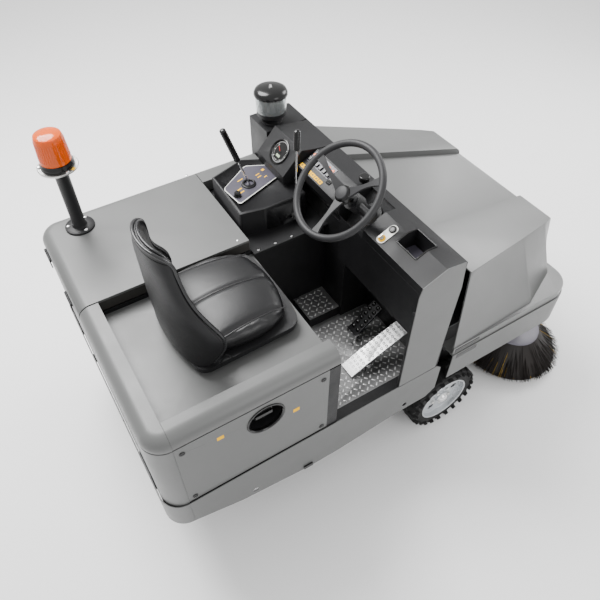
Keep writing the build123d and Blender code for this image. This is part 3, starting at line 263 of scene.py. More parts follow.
def tube(points, radius, closed=False, round_ends=True, sides=6, order=4):
    """A round bar through millimetre points, made from a curve and turned into a mesh."""
    curve = bpy.data.curves.new("bar", "CURVE")
    curve.dimensions = "3D"
    curve.bevel_depth = radius * MM
    curve.bevel_resolution = sides
    curve.use_fill_caps = True
    curve.resolution_u = 10
    line = curve.splines.new("NURBS" if order > 2 else "POLY")
    line.points.add(len(points) - 1)
    for point, place in zip(line.points, points):
        point.co = (*at(*place), 1.0)
    line.use_cyclic_u = closed
    if order > 2:
        line.order_u = order
        line.use_endpoint_u = not closed
    holder = bpy.data.objects.new("bar", curve)
    bpy.context.scene.collection.objects.link(holder)
    mesh = bpy.data.meshes.new_from_object(holder.evaluated_get(bpy.context.evaluated_depsgraph_get()))
    bm = bmesh.new()
    bm.from_mesh(mesh)
    bmesh.ops.remove_doubles(bm, verts=bm.verts, dist=1e-6)
    bpy.data.objects.remove(holder)
    bpy.data.curves.remove(curve)
    bpy.data.meshes.remove(mesh)
    return bm


def from_frame(node):
    """A merged copy of a frame piece, ready for rounded edges."""
    bm = bmesh.new()
    bm.from_mesh(frame["nodes"][node].data)
    bmesh.ops.remove_doubles(bm, verts=bm.verts, dist=2e-5)
    bmesh.ops.dissolve_limit(bm, angle_limit=math.radians(0.3), verts=bm.verts, edges=bm.edges)
    return bm


print("bench ready")

# %% [markdown]
# Sheet metal and mouldings. Their shapes are right already, but a folded sheet never has a knife edge, and it's
# the light along a rounded edge that tells the eye what it is made of. Each is copied, merged and given a radius:
# about a millimetre and a half on sheet, more on mouldings.

# %% Panels, sheets and castings with rounded edges
BODY_OF = {n: obj["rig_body"] for n, obj in frame["nodes"].items()}
EDGES = [
    (body_paint, 1.6, ["skirt_right", "skirt_left", "rear_bumper", "rear_panel", "side_panel_right", "side_panel_left",
                       "seat_deck", "dash_end_plate", "hopper_band"]),
    (body_paint, 2.4, ["deck_rail_side", "deck_rail_rear", "left_deck", "engine_cover"]),
    (frame_paint, 1.2, ["frame", "front_carriers", "main_brush_arms", "side_brush_arm", "lift_arms", "hopper_bin",
                        "hopper_flap", "rear_fork"]),
    (powder, 1.2, ["bay_walls", "sill", "footwell_side_wall", "firewall", "column_tower", "instrument_box"]),
    (moulded, 4.0, ["dash_console"]),
    (moulded, 2.0, ["filter_box", "fuel_tank", "steering_column"]),
    (casting, 3.0, ["engine"]),
]
for material, radius, names in EDGES:
    for node in names:
        piece(node.replace("_", " "), from_frame(node), material, BODY_OF[node], bevel=radius, instead_of=[node])
print("rounded", sum(len(names) for _, _, names in EDGES), "pieces")

# %% [markdown]
# The hood is one big moulding: a channel down the middle between two raised shoulders, all of it falling to the
# front. Its folds are broad, so it takes a large radius in several steps.

# %% Hood
def soft_folds(node, radius, shortest, low=8, high=100, segments=6):
    """A frame piece whose long outer folds are rounded broadly, past what its thin wall would allow a modifier."""
    bm = from_frame(node)
    folds = [e for e in bm.edges if len(e.link_faces) == 2 and e.is_convex and e.calc_length() > shortest * MM
             and math.radians(low) < e.calc_face_angle() < math.radians(high)
             and min(f.calc_area() for f in e.link_faces) > (shortest * MM) ** 2]
    bmesh.ops.bevel(bm, geom=folds, offset=radius * MM, affect="EDGES", segments=segments, profile=0.5, material=-1,
                    clamp_overlap=False)
    return bm


hood = piece("hood", soft_folds("hood", 22, 120, high=80), hood_paint, "hood", bevel=1.5, angle=50, instead_of=["hood"])
piece("gauge pod", from_frame("gauge_pod"), moulded, "chassis", bevel=8.0, segments=4, instead_of=["gauge_pod"])
piece("lever console", soft_folds("lever_console", 12, 60), moulded, "chassis", angle=50, instead_of=["lever_console"])
for side in (-1, 1):
    grip = slab((120, 8, 30), facing((371, side * 618, 560), (0, 0, 1)))
    piece("hood grip " + ("right" if side < 0 else "left"), grip, gloss_black, "hopper", bevel=3.0)
print("hood", len(hood.data.polygons), "faces")

# %% [markdown]
# The seat is a high-backed bucket of black vinyl over foam. Each cushion starts as a cube cut into a grid. Every
# point is then pushed out to a crowned, tapering form, and the panels are drawn together along the seams, which
# leaves the soft valleys that stitching makes.

# %% A grid cube for cushions
def foam(cuts, form):
    """A cube of -1 to 1 cut into a grid, each of whose points goes where the form says (millimetres)."""
    bm = bmesh.new()
    bmesh.ops.create_cube(bm, size=2.0)
    bmesh.ops.subdivide_edges(bm, edges=bm.edges, cuts=cuts, use_grid_fill=True)
    for v in bm.verts:
        v.co = at(*form(*v.co))
    return bm


def crown(u, power=2.5):
    return max(0.0, 1.0 - abs(u) ** power)


def valley(distance, width):
    return math.exp(-(distance / width) ** 2)


SEAT_Y = -182.0


def round_square(u, v, k=0.55):
    """A square grid point drawn in towards a round-cornered outline."""
    return u * math.sqrt(1 - k * v * v / 2), v * math.sqrt(1 - k * u * u / 2)


def cushion_form(u, v, w):
    """u runs forward, v to the left, w up."""
    a, b = round_square(u, v, 0.75 if u > 0 else 0.35)
    belly = 1.0 - 0.05 * (1.0 - crown(w, 2.0))
    top = 1072.0 + 30.0 * crown(u, 2.2) * crown(v, 2.6) - 6.0 * u
    return -536.0 + 186.0 * a * belly, SEAT_Y + 217.0 * b * belly, 1013.0 + (top - 1013.0) * (w + 1.0) / 2.0


# %% [markdown]
# Foam under tight vinyl swells between its edges. The cushion's mesh is remade in even cells and blown up a
# little as cloth, no point moving further than a cap, so the swelling stays that of a stuffed seat.

# %% Stuffing by cloth simulation
def stuffed(bm, cap, cell=6.0):
    mesh = bpy.data.meshes.new("foam")
    bm.to_mesh(mesh)
    bm.free()
    dummy = bpy.data.objects.new("foam", mesh)
    bpy.context.scene.collection.objects.link(dummy)
    remesh = dummy.modifiers.new("cells", "REMESH")
    remesh.mode = "VOXEL"
    remesh.voxel_size = cell * MM
    graph = bpy.context.evaluated_depsgraph_get()
    even = bpy.data.meshes.new_from_object(dummy.evaluated_get(graph))
    dummy.modifiers.clear()
    dummy.data = even
    rest = [v.co.copy() for v in even.vertices]
    cloth = dummy.modifiers.new("vinyl", "CLOTH")
    cloth.settings.use_pressure = True
    cloth.settings.uniform_pressure_force = 4.0
    cloth.settings.effector_weights.gravity = 0.0
    cloth.point_cache.frame_start = 1
    cloth.point_cache.frame_end = 20
    for f in range(1, 21):
        bpy.context.scene.frame_set(f)
    moved = dummy.evaluated_get(bpy.context.evaluated_depsgraph_get()).to_mesh()
    for v, start, end in zip(even.vertices, rest, [m.co.copy() for m in moved.vertices]):
        step = end - start
        v.co = start + step * min(1.0, cap * MM / max(step.length, 1e-9))
    dummy.modifiers.clear()
    bpy.context.scene.frame_set(1)
    out = bmesh.new()
    out.from_mesh(even)
    bpy.data.objects.remove(dummy)
    bmesh.ops.smooth_vert(out, verts=out.verts, factor=0.5, use_axis_x=True, use_axis_y=True, use_axis_z=True)
    return out


SIDE_SEAM = 172.0
bm = stuffed(foam(22, cushion_form), 7.0)
bm.normal_update()
for v in bm.verts:
    y = (v.co.y - SHIFT.y) * 1000 - SEAT_Y
    bow = 1.0 - 0.10 * ((v.co.x - SHIFT.x) * 1000 + 536) / 186
    pull = 5.0 * valley(y, 10.0) + 7.0 * valley(abs(y) - SIDE_SEAM * bow, 11.0)
    v.co.z -= pull * max(0.0, v.normal.z) ** 2 * MM
cushion = piece("seat cushion", bm, vinyl, "seat", subdivide=1, instead_of=["seat_cushion"])
print("cushion", len(cushion.data.polygons), "faces")

# %% [markdown]
# The backrest wraps round the driver's sides low down and narrows to a round-topped head. Its thickness follows
# the same idea: fat wings, a thinner spine, and two seams that part the wings from the middle panel.

# %% Backrest
def through(table, t):
    """A smooth curve through (place, value) pairs."""
    t = min(max(t, table[0][0]), table[-1][0])
    k = next(i for i in range(len(table) - 1) if t <= table[i + 1][0])
    (a, p), (b, q) = table[k], table[k + 1]
    before, after = table[max(k - 1, 0)], table[min(k + 2, len(table) - 1)]
    m0 = (q - before[1]) / (b - before[0]) * (b - a)
    m1 = (after[1] - p) / (after[0] - a) * (b - a)
    s = (t - a) / (b - a)
    return (p * (1 + 2 * s) + m0 * s) * (1 - s) ** 2 + (q * (3 - 2 * s) - m1 * (1 - s)) * s * s


HALF_WIDTH = [(0.0, 205), (0.22, 226), (0.4, 212), (0.55, 180), (0.7, 146), (0.85, 120), (1.0, 106)]
WING = [(0.0, -712), (0.14, -668), (0.26, -655), (0.42, -684), (0.56, -716), (0.7, -734), (0.85, -742), (1.0, -746)]
SPINE = [(0.0, -776), (0.3, -786), (0.6, -790), (1.0, -798)]


def back_shape(v, h, offset):
    """The bucket's surface: v across, h up, both with the offset from its middle layer (forward is plus)."""
    half, spine, wing = through(HALF_WIDTH, h), through(SPINE, h), through(WING, h)
    a = 0.5 * math.pi * v
    reach = wing - spine
    normal = Vector((math.cos(a) / reach, -math.sin(a) / half)).normalized()
    top = 1474.0 - 26.0 * abs(v) ** 3
    x = spine + reach * (1 - math.cos(a)) + normal.x * offset
    return x, SEAT_Y + half * math.sin(a) + normal.y * offset, 1013.0 + (top - 1013.0) * h


def thickness(v, h):
    edge = 1.0 - 0.45 * max(0.0, abs(v) - 0.8) / 0.2
    return 19.0 * edge * (1.0 - 0.25 * h) * (1.0 - 0.5 * max(0.0, h - 0.92) / 0.08)


def back_form(u, v, w):
    """u goes through the thickness (forward is +1), v across, w up."""
    h = (w + 1.0) / 2.0
    fat = thickness(v, h)
    fat += 7.0 * (crown(2 * abs(v) - 0.9, 2.0) if u > 0 else 0.0) * (1 - h * 0.5)
    fat -= (6.0 * valley(abs(v) - 0.45, 0.03) + 4.0 * valley(v, 0.03)) if u > 0 else 0.0
    return back_shape(v * (1 - 0.02 * abs(u)), h * (1 - 0.01 * abs(u)), u * fat)


backrest = piece("backrest", stuffed(foam(26, back_form), 3.0, 5.0), vinyl, "seat", subdivide=1, instead_of=["seat_back"])
print("backrest", len(backrest.data.polygons), "faces")

# %% [markdown]
# Behind the vinyl sits a smooth plastic shell, and a thick piping closes the joint all round. The piping is a
# round bar on a curve that follows the backrest's outline; the cushion has thinner ones along its three seams.

# %% Shell and piping
def shell_form(u, v, w):
    h = (w + 1.0) / 2.0
    return back_shape(v * 0.93, h * 0.955, -thickness(v, h) - 5.0 + u * 2.0)


piece("seat back shell", foam(20, shell_form), moulded, "seat", subdivide=1)
heights = (0.03, 0.12, 0.22, 0.32, 0.42, 0.52, 0.62, 0.72, 0.82, 0.9, 0.97)
# The backrest piping is a little lighter than the vinyl: partly painted highlight.
for name, offset, width in (("outer", -12.0, 6.0), ("inner", 3.0, 4.0)):
    edge = [back_shape(-0.99, h, offset) for h in heights] + [back_shape(v, 1.0, offset) for v in (-0.7, -0.35, 0.0, 0.35, 0.7)]
    edge += [back_shape(0.99, h, offset) for h in reversed(heights)]
    piece("backrest piping " + name, tube(edge, width), piping_vinyl_with_painted_highlight, "seat")
bm = from_frame("seat_pan")
corners = [e for e in bm.edges if abs(e.verts[0].co.z - e.verts[1].co.z) > 0.01]
bmesh.ops.bevel(bm, geom=corners, offset=0.05, affect="EDGES", segments=8, profile=0.5, material=-1)
piece("seat pan", bm, moulded, "seat", bevel=6.0, segments=3, instead_of=["seat_pan"])


def on_cushion(across, forward):
    """The highest point of the cushion near a place on its top, from the stuffed mesh."""
    x, y = -536.0 + forward, SEAT_Y + across
    hit, place, _, _ = cushion.ray_cast(at(x, y, 1200), (0, 0, -1))
    return (x, y, (place.z - SHIFT.z) * 1000 + 0.2 if hit else 1060.0)


# The cushion welts share the piping's lighter tone, which is partly painted highlight.
for name, across in (("right", -SIDE_SEAM), ("centre", 0.0), ("left", SIDE_SEAM)):
    seam = [on_cushion(across * (1.0 - 0.10 * f / 186), f) for f in range(-165, 156 if across else 176, 20)]
    piece("cushion welt " + name, tube(seam, 2.6), piping_vinyl_with_painted_highlight, "seat")
hook = [(-640, SEAT_Y - 226, 1015), (-684, SEAT_Y - 226, 1015), (-662, SEAT_Y - 229, 1046)]
piece("belt loop", tube(hook, 3.5, closed=True, order=2), powder, "seat")
print("seat dressed")

# %% [markdown]
# Wheels. A solid industrial tyre has thick lugs that run from the middle of the tread down over its shoulder,
# left and right in turn. The casing is one profile spun round the axle; each lug is one bevelled block, turned
# into place forty-four times.

# %% Tyres
def casing(y, x, radius=183.0):
    profile = [(131, -51), (150, -54), (170, -50), (radius - 2, -38), (radius, -18), (radius, 18), (radius - 2, 38),
               (170, 50), (150, 54), (131, 51)]
    return turned(profile, facing((x, y, 190), (0, 1, 0), (1, 0, 0)), steps=64)


def lugs(bm, x, y, count=22):
    for k in range(2 * count):
        side = 1 if k % 2 else -1
        block = slab((34, 46, 12), taper=0.86)
        bmesh.ops.bevel(block, geom=block.edges, offset=0.002, affect="EDGES", segments=1, profile=0.5, material=-1)
        move(block, Matrix.Rotation(side * 0.32, 4, "Z"))
        move(block, Matrix.Translation((0, side * 27.0 * MM, 177.8 * MM)))
        turn = Matrix.Translation(at(x, y, 190)) @ Matrix.Rotation(math.pi * k / count, 4, "Y")
        join(bm, move(block, turn))
        wall = slab((24, 12, 22), taper=0.8)
        move(wall, Matrix.Rotation(-side * math.pi / 2, 4, "X"))
        move(wall, Matrix.Translation((0, side * 43.0 * MM, 170.0 * MM)))
        join(bm, move(wall, turn))
    return bm


piece("front tyre right", lugs(casing(-560, 340), 340, -560), rubber, "front_wheel_right", instead_of=["front_tyre_right"])
piece("front tyre left", lugs(casing(560, 340), 340, 560), rubber, "front_wheel_left", instead_of=["front_tyre_left"])
rear = lugs(casing(0, -780), -780, 0)
piece("rear tyre", join(rear, from_frame("rear_wheel").copy() if False else bmesh.new()), rubber, "rear_wheel", instead_of=["rear_wheel"])
print("three tyres")

# %% [markdown]
# The rims are pressed steel in silver paint: a rolled lip, a dished disc with five holes, a ring of wheel nuts and
# a domed hub cap. The frame's rim keeps the holes; nuts and cap are added.

# %% Rims
for label, side in (("right", -1), ("left", 1)):
    body = "front_wheel_" + label
    piece("rim " + label, from_frame("front_rim_" + label), silver, body, bevel=1.5, instead_of=["front_rim_" + label])
    lip = [(131, 46), (133.5, 50), (131, 53), (127, 52), (124, 46)]
    piece("rim lip " + label, turned(lip, facing((340, side * 560, 190), (0, side, 0)), steps=64), silver, body)
    nuts = bmesh.new()
    for k in range(5):
        a = math.radians(54 + 72 * k)
        place = facing((340 + 52 * math.cos(a), side * 586, 190 + 52 * math.sin(a)), (0, side, 0))
        join(nuts, turned([(0, 13), (6, 12), (10, 9), (10, 0), (0, 0)], place, steps=6))
    piece("wheel nuts " + label, nuts, bright, body)
    cap = [(0, 20), (14, 18), (24, 12), (28, 4), (30, 0), (0, 0)]
    piece("hub cap " + label, turned(cap, facing((340, side * 600, 190), (0, side, 0)), steps=32), chrome, body)
disc = turned([(0, 22), (26, 20), (34, 8), (80, 6), (118, 16), (131, 48), (131, -48), (118, -16), (80, -6), (34, -8), (26, -20), (0, -22)],
              facing((-780, 0, 190), (0, 1, 0)), steps=48)
piece("rear disc", disc, frame_paint, "rear_wheel")
print("rims")

# %% [markdown]
# The steering wheel: a soft round rim, three flat spokes that rise to it from a deep hub, and a smooth cap. The
# rim is a circle spun round the column's axis.

# %% Steering wheel
TILT = math.radians(42)
AXIS = Vector((-math.sin(TILT), 0, math.cos(TILT)))
HUB = Vector((-65, -182, 1354))


def on_column(distance):
    """A place across the steering axis, a distance below the wheel's centre."""
    return facing(tuple(HUB - AXIS * distance), AXIS, (math.cos(TILT), 0, math.sin(TILT)))


ring = [(182 + 13.6 * math.cos(2 * math.pi * k / 16), 13.6 * math.sin(2 * math.pi * k / 16)) for k in range(16)]
wheel = turned(ring, on_column(0), steps=96)
for angle in (75, 195, 315):
    spoke = bmesh.new()
    bmesh.ops.create_cube(spoke, size=1.0)
    bmesh.ops.subdivide_edges(spoke, edges=[e for e in spoke.edges if abs(e.verts[0].co.x - e.verts[1].co.x) > 0.5], cuts=6)
    for v in spoke.verts:
        t = v.co.x + 0.5
        v.co = Vector(((24 + 150 * t), v.co.y * (44 - 26 * math.sin(math.pi * min(1, t * 0.9))), v.co.z * 9 - 40 * (1 - t) ** 1.3 + 1)) * MM
    join(wheel, move(spoke, on_column(0) @ Matrix.Rotation(math.radians(angle), 4, "Z")))
piece("steering wheel", wheel, soft_grip, "steering_wheel", bevel=2.0, instead_of=["steering_wheel"])
hub = [(0, -22), (20, -23), (30, -27), (34, -33), (37, -44), (37, -54), (11, -56), (10, -124), (0, -124)]
piece("steering hub", turned(hub, on_column(0)), gloss_black, "steering_wheel")
piece("steering cap", turned([(0, -17), (14, -18), (24, -20.5), (27, -24), (0, -25)], on_column(0)), soft_grip, "steering_wheel")
print("steering wheel")

# %% [markdown]
# The amber beacon stands on a mast on the engine cover. Its lens is a thick moulding with upright ribs, so that
# the lamp inside breaks into bright bars. The ribs are small blocks round the lens; inside turns a reflector.

# %% Beacon and mast
MAST = (-882.0, 505.0)


def upright(z):
    return facing((*MAST, z), (0, 0, 1))


piece("mast", turned([(0, 0), (60, 0), (60, 6), (56, 9), (31, 10), (27, 16), (27, 292), (32, 300), (0, 300)], upright(1040)), powder,
      "engine_cover", instead_of=["beacon_mast"])
piece("beacon flange", turned([(0, 0), (74, 0), (77, 2), (77, 7), (75, 9), (0, 9)], upright(1340), steps=64), bright, "engine_cover")
piece("beacon base", turned([(0, 0), (64, 0), (64, 14), (60, 20), (60, 24), (0, 24)], upright(1349)), gloss_black, "engine_cover")
lens = [(57, 0), (60, 1), (58.5, 8), (54, 96), (50, 107), (40, 113), (20, 116), (0, 116.5), (0, 113), (38, 109.5), (47, 104), (51, 94), (55, 8)]
dome = turned(lens, upright(1374), steps=96)
for k in range(40):
    rib = slab((5.2, 4.2, 74), taper=0.93)
    spin = Matrix.Rotation(2 * math.pi * k / 40, 4, "Z")
    lean = Matrix.Translation((56.8 * MM, 0, 0.014)) @ Matrix.Rotation(-0.051, 4, "Y")
    join(dome, move(rib, upright(1374) @ spin @ lean))
piece("beacon lens", dome, amber, "engine_cover", instead_of=["beacon_lens"])
piece("beacon lamp", turned([(0, 0), (30, 0), (34, 14), (30, 60), (14, 84), (0, 88)], upright(1376)), chrome, "engine_cover")
bolts = bmesh.new()
for k in range(3):
    a = math.radians(45 + 120 * k)
    for radius, z in ((47, 1048), (69, 1349)):
        spot = facing((MAST[0] + radius * math.cos(a), MAST[1] + radius * math.sin(a), z), (0, 0, 1))
        join(bolts, turned([(0, 6), (5, 5.5), (8, 3), (8.5, 0), (0, 0)], spot, steps=12))
piece("mast bolts", bolts, chrome, "engine_cover")
piece("beacon tag", slab((18, 12, 0.6), facing((-838, 448, 1349.2), (0, 0, 1), (0.7, 0.7, 0))), yellow, "engine_cover")
print("beacon")

# %% [markdown]
# The engine breathes through a pre-cleaner on a short stack: a clear bowl where dust collects, under a black cap
# with louvres. The bowl is a spun wall, thin enough to see the vanes through it.

# %% Air cleaner
def stack(z):
    return facing((60, 528, z), (0, 0, 1))


bowl = [(66, 0), (68, 4), (68, 66), (66, 70), (63.5, 70), (65, 66), (65, 4), (63.5, 0)]
piece("cleaner bowl", turned(bowl, stack(1278), steps=64), bowl_clear, "chassis", instead_of=["air_cleaner"])
vanes = turned([(0, 0), (40, 0), (44, 6), (24, 30), (24, 60), (44, 66), (0, 66)], stack(1279))
for k in range(12):
    vane = slab((34, 2, 58))
    join(vanes, move(vane, stack(1282) @ Matrix.Rotation(math.pi * k / 6, 4, "Z") @ Matrix.Translation((0.038, 0, 0))))
piece("cleaner vanes", vanes, moulded, "chassis")
piece("cleaner cap", turned([(0, 36), (20, 35.5), (52, 32), (68, 24), (74.5, 12), (74.5, 2), (70, 0), (0, 0)], stack(1349), steps=64),
      gloss_black, "chassis")
piece("cleaner nut", turned([(0, 10), (5, 9), (8, 0), (0, 0)], stack(1384), steps=12), chrome, "chassis")
louvres = bmesh.new()
for k in range(28):
    fin = slab((3, 5, 9), taper=0.8)
    join(louvres, move(fin, stack(1351) @ Matrix.Rotation(2 * math.pi * k / 28, 4, "Z") @ Matrix.Translation((0.0735, 0, 0))))
piece("cleaner louvres", louvres, moulded, "chassis")
print("air cleaner")

# %% [markdown]
# The footwell's floor is aluminium chequer plate: short raised bars in alternating directions. A bar is a cube
# with its top drawn in, and the same bar is set down a few hundred times, so each has only six faces.

# %% Chequer plate
def chequer(x_range, y_range, z, pitch=24.0, length=17.0):
    bm = bmesh.new()
    row = 0
    x = x_range[0] + pitch / 2
    while x < x_range[1] - 8:
        y = y_range[0] + pitch / 2
        column = 0
        while y < y_range[1] - 8:
            bar = slab((length, 6.0, 2.2), taper=0.6)
            spin = math.radians(45 if (row + column) % 2 else -45)
            join(bm, move(bar, facing((x, y, z), (0, 0, 1)) @ Matrix.Rotation(spin, 4, "Z")))
            y += pitch
            column += 1
        x += pitch
        row += 1
    return bm


floor_bars = chequer((-312, 192), (-530, -116), 504.8)
piece("floor plate", from_frame("floor_plate"), plate_metal, "chassis", bevel=0.8, instead_of=["floor_plate"])
piece("floor bars", floor_bars, tread_metal, "chassis")
piece("step bars", chequer((-116, 44), (-96, 50), 560.8), tread_metal, "chassis")
piece("step sheet", slab((164, 152, 1.0), facing((-38, -23, 560), (0, 0, 1))), plate_metal, "chassis", bevel=0.3)

# %% [markdown]
# Pedals. The drive pedal is a long treadle of perforated bright metal that rocks about its middle: toe for
# forward, heel for reverse. The brake is a black pad with two rows of round rubber bumps.

# %% Pedals
def along_tread(start, end, t):
    return tuple(a + (b - a) * t for a, b in zip(start, end))


piece("drive pedal", from_frame("drive_pedal"), tread_metal, "drive_pedal", bevel=2.0, instead_of=["drive_pedal"])
holes = bmesh.new()
for rows, start, end in ((9, (-20, 0, 567), (160, 0, 643.5)), (4, (-104, 0, 524), (-46, 0, 555.5))):
    lean = Vector(end) - Vector(start)
    normal = Vector((-lean.z, 0, lean.x)).normalized()
    for k in range(rows):
        x, _, z = along_tread(start, end, k / (rows - 1))
        for j in range(4):
            y = -430 + 19.5 * j + (5 if k % 2 else 0)
            join(holes, turned([(3.2, 0), (5.6, 0), (6.4, 1.6), (5.0, 2.6), (3.6, 1.6)], facing((x, y, z), normal), steps=12))
piece("drive pedal dimples", holes, tread_metal, "drive_pedal")
piece("brake pedal", from_frame("brake_pedal"), moulded, "brake_pedal", bevel=3.0, segments=3, instead_of=["brake_pedal"])
bumps = bmesh.new()
for k in range(6):
    x, _, z = along_tread((44, 0, 548.5), (150, 0, 637.0), k / 5)
    for y in (-255, -223):
        spot = facing((x, y, z - 1.5), (-0.64, 0, 0.77))
        join(bumps, turned([(0, 8), (5, 7.4), (9, 5), (10.5, 1), (10.5, 0), (0, 0)], spot, steps=16))
piece("brake pedal bumps", bumps, gloss_black, "brake_pedal")
print("pedals")

# %% [markdown]
# The side brush throws dirt in from walls and kerbs. Twenty-six tufts leave its disc and splay to the floor. Each
# tuft is a fan of separate bristles, thin three-sided rods in dark fibre with a few yellow ones among them, over
# a dark conical core that stands for the depth of the brush.

# %% Side brush
BRUSH = (985.0, -440.0, 176.0)
lean = Vector((1, -0.6, 0)).normalized() * math.sin(math.radians(5))
BRUSH_AXIS = Vector((lean.x, lean.y, math.cos(math.radians(5))))
brush_place = facing(BRUSH, BRUSH_AXIS)


def strand(angle, inner, outer, drop, twist, thick):
    bm = bmesh.new()
    bmesh.ops.create_cone(bm, cap_ends=True, segments=3, radius1=thick * MM, radius2=thick * 0.6 * MM, depth=1.0)
    start = Vector((inner * math.cos(angle), inner * math.sin(angle), -12)) * MM
    end = Vector((outer * math.cos(angle + twist), outer * math.sin(angle + twist), -drop)) * MM
    way = end - start
    move(bm, Matrix.Translation((0, 0, 0.5)))
    move(bm, Matrix.Diagonal((1, 1, way.length, 1)))
    return move(bm, Matrix.Translation(start) @ way.to_track_quat("Z", "Y").to_matrix().to_4x4())


def tufts(count, per_tuft, every, offset):
    bm = bmesh.new()
    for k in range(count):
        for j in range(per_tuft):
            if (k * per_tuft + j) % every != offset and every > 1 and offset >= 0:
                continue
            angle = 2 * math.pi * k / count + random.uniform(-0.10, 0.10)
            t = random.random()
            outer = 232 + 66 * t + random.uniform(-4, 4)
            drop = 146 - 24 * t * t + random.uniform(-5, 3)
            join(bm, strand(angle, random.uniform(96, 134), outer, drop, random.uniform(-0.10, 0.02), random.uniform(1.1, 1.7)))
    return bm


core_profile = [(92, -10), (134, -10), (262, -112), (272, -138), (196, -128), (126, -66)]
core = move(turned(core_profile, Matrix.Identity(4), steps=64), brush_place)
piece("brush core", core, bristle_dark, "side_brush", instead_of=["side_brush_bristles"])
piece("brush tufts", move(tufts(26, 110, 1, 0), brush_place), bristle_dark, "side_brush")
piece("brush yellow strands", move(tufts(26, 5, 1, 0), brush_place), bristle_yellow, "side_brush")
disc = [(12.2, -14), (136, -14), (140, -8), (138, 4), (120, 8), (100, 5), (60, 5), (46, 10), (12.2, 10)]
piece("brush disc", move(turned(disc, Matrix.Identity(4), steps=64), brush_place), hub_paint, "side_brush", instead_of=["side_brush_hub"])
caps = bmesh.new()
for k in range(6):
    spot = brush_place @ Matrix.Rotation(math.pi * k / 3, 4, "Z") @ Matrix.Translation((0.08, 0, 0.005))
    join(caps, turned([(0, 5), (5, 4.5), (8, 2), (8, 0), (0, 0)], spot, steps=6))
piece("brush disc bolts", caps, bright, "side_brush")
print("side brush")

# %% [markdown]
# The main brush turns under the machine, across its width. Its bristles stand in chevron rows, so that dirt is
# thrown to the middle. A dark core carries a few hundred short blades, each leaning along its row.

# %% Main brush
spindle = facing((-70, -478, 175), (0, 1, 0), (1, 0, 0))
piece("main brush core", turned([(0, 0), (90, 0), (90, 956), (0, 956)], spindle, steps=32), moulded, "main_brush", instead_of=["main_brush"])
blades = bmesh.new()
for row in range(36):
    for k in range(24):
        y = 20 + 39.5 * k
        chevron = 0.9 * abs(y - 478) / 478
        blade = slab((3.5, 30, 82), taper=0.9)
        spin = Matrix.Rotation(2 * math.pi * (row + 0.3 * (row % 3 == 0)) / 36 + chevron, 4, "Z")
        join(blades, move(blade, spindle @ spin @ Matrix.Translation((0.086, 0, y * MM)) @ Matrix.Rotation(math.pi / 2, 4, "Y")))
piece("main brush bristles", blades, bristle_dark, "main_brush")
print("main brush")

# %% [markdown]
# Controls on the dash. A strip of rocker switches with lamps lies along the slope behind the wheel, then the
# lighter plate with key and horn, and the storage tray. Everything sits on the same slope, so one
# helper places it: a distance up the slope from its rear edge, and a place across.

# %% The dash's slope
SLOPE = math.atan2(43, 101)
SLOPE_UP = (-math.sin(SLOPE), 0, math.cos(SLOPE))


def on_slope(distance, y, lift=0.0):
    x = 6 + distance * math.cos(SLOPE) - lift * math.sin(SLOPE)
    z = 1190 + distance * math.sin(SLOPE) + lift * math.cos(SLOPE)
    return facing((x, y, z), SLOPE_UP, (math.cos(SLOPE), 0, math.sin(SLOPE)))


piece("control strip", slab((58, 158, 2.0), on_slope(72, 128)), plum, "chassis", bevel=1.0)
switches, lamps, labels, icons = bmesh.new(), bmesh.new(), bmesh.new(), bmesh.new()
for k in range(6):
    y = 62 + 27 * k
    join(switches, slab((22, 19, 7), on_slope(58, y, 1.5), taper=0.82))
    join(lamps, turned([(0, 5), (6, 4), (8.5, 0), (0, 0)], on_slope(84, y, 1.5), steps=16))
    join(labels, slab((17, 24, 0.5), on_slope(15, y, 0.1)))
    join(icons, slab((8, 9, 0.8), on_slope(15, y, 0.2) @ Matrix.Rotation(0.8 * (k % 2), 4, "Z"), taper=0.7))
piece("switch rockers", switches, gloss_black, "chassis", bevel=1.2)
piece("switch lamps", lamps, orange, "chassis")
piece("switch labels", labels, yellow, "chassis")
piece("switch icons", icons, gloss_black, "chassis")
piece("rocker", from_frame("rocker_switch"), gloss_black, "rocker_switch", bevel=1.0, instead_of=["rocker_switch"])
plate = slab((92, 38, 1.2), on_slope(52, -348, 2.6))
bmesh.ops.bevel(plate, geom=[e for e in plate.edges if abs((e.verts[0].co - e.verts[1].co).z) < 0.002 and e.calc_length() < 0.002],
                offset=0.0172, affect="EDGES", segments=8, profile=0.5, material=-1)
piece("key plate", plate, white, "chassis")
piece("key bezel", turned([(9.4, 0), (15, 0), (15, 3), (12, 5), (9.4, 5)], on_slope(26, -348, 3.6)), yellow, "chassis")
piece("horn bezel", turned([(9.4, 0), (15.5, 0), (15.5, 4), (12, 6), (9.4, 6)], on_slope(78, -348, 3.6)), gloss_black, "chassis")
piece("ignition key", from_frame("ignition_key"), bright, "ignition_key", bevel=0.8, instead_of=["ignition_key"])
piece("horn button", from_frame("horn_button"), gloss_black, "horn_button", bevel=1.0, instead_of=["horn_button"])
piece("dash knob", from_frame("dash_knob"), gloss_black, "dash_knob", bevel=1.5, instead_of=["dash_knob"])
print("dash controls")

# %% [markdown]
# The storage tray is a moulded pocket in the dash, with a dark insert held by two screws.

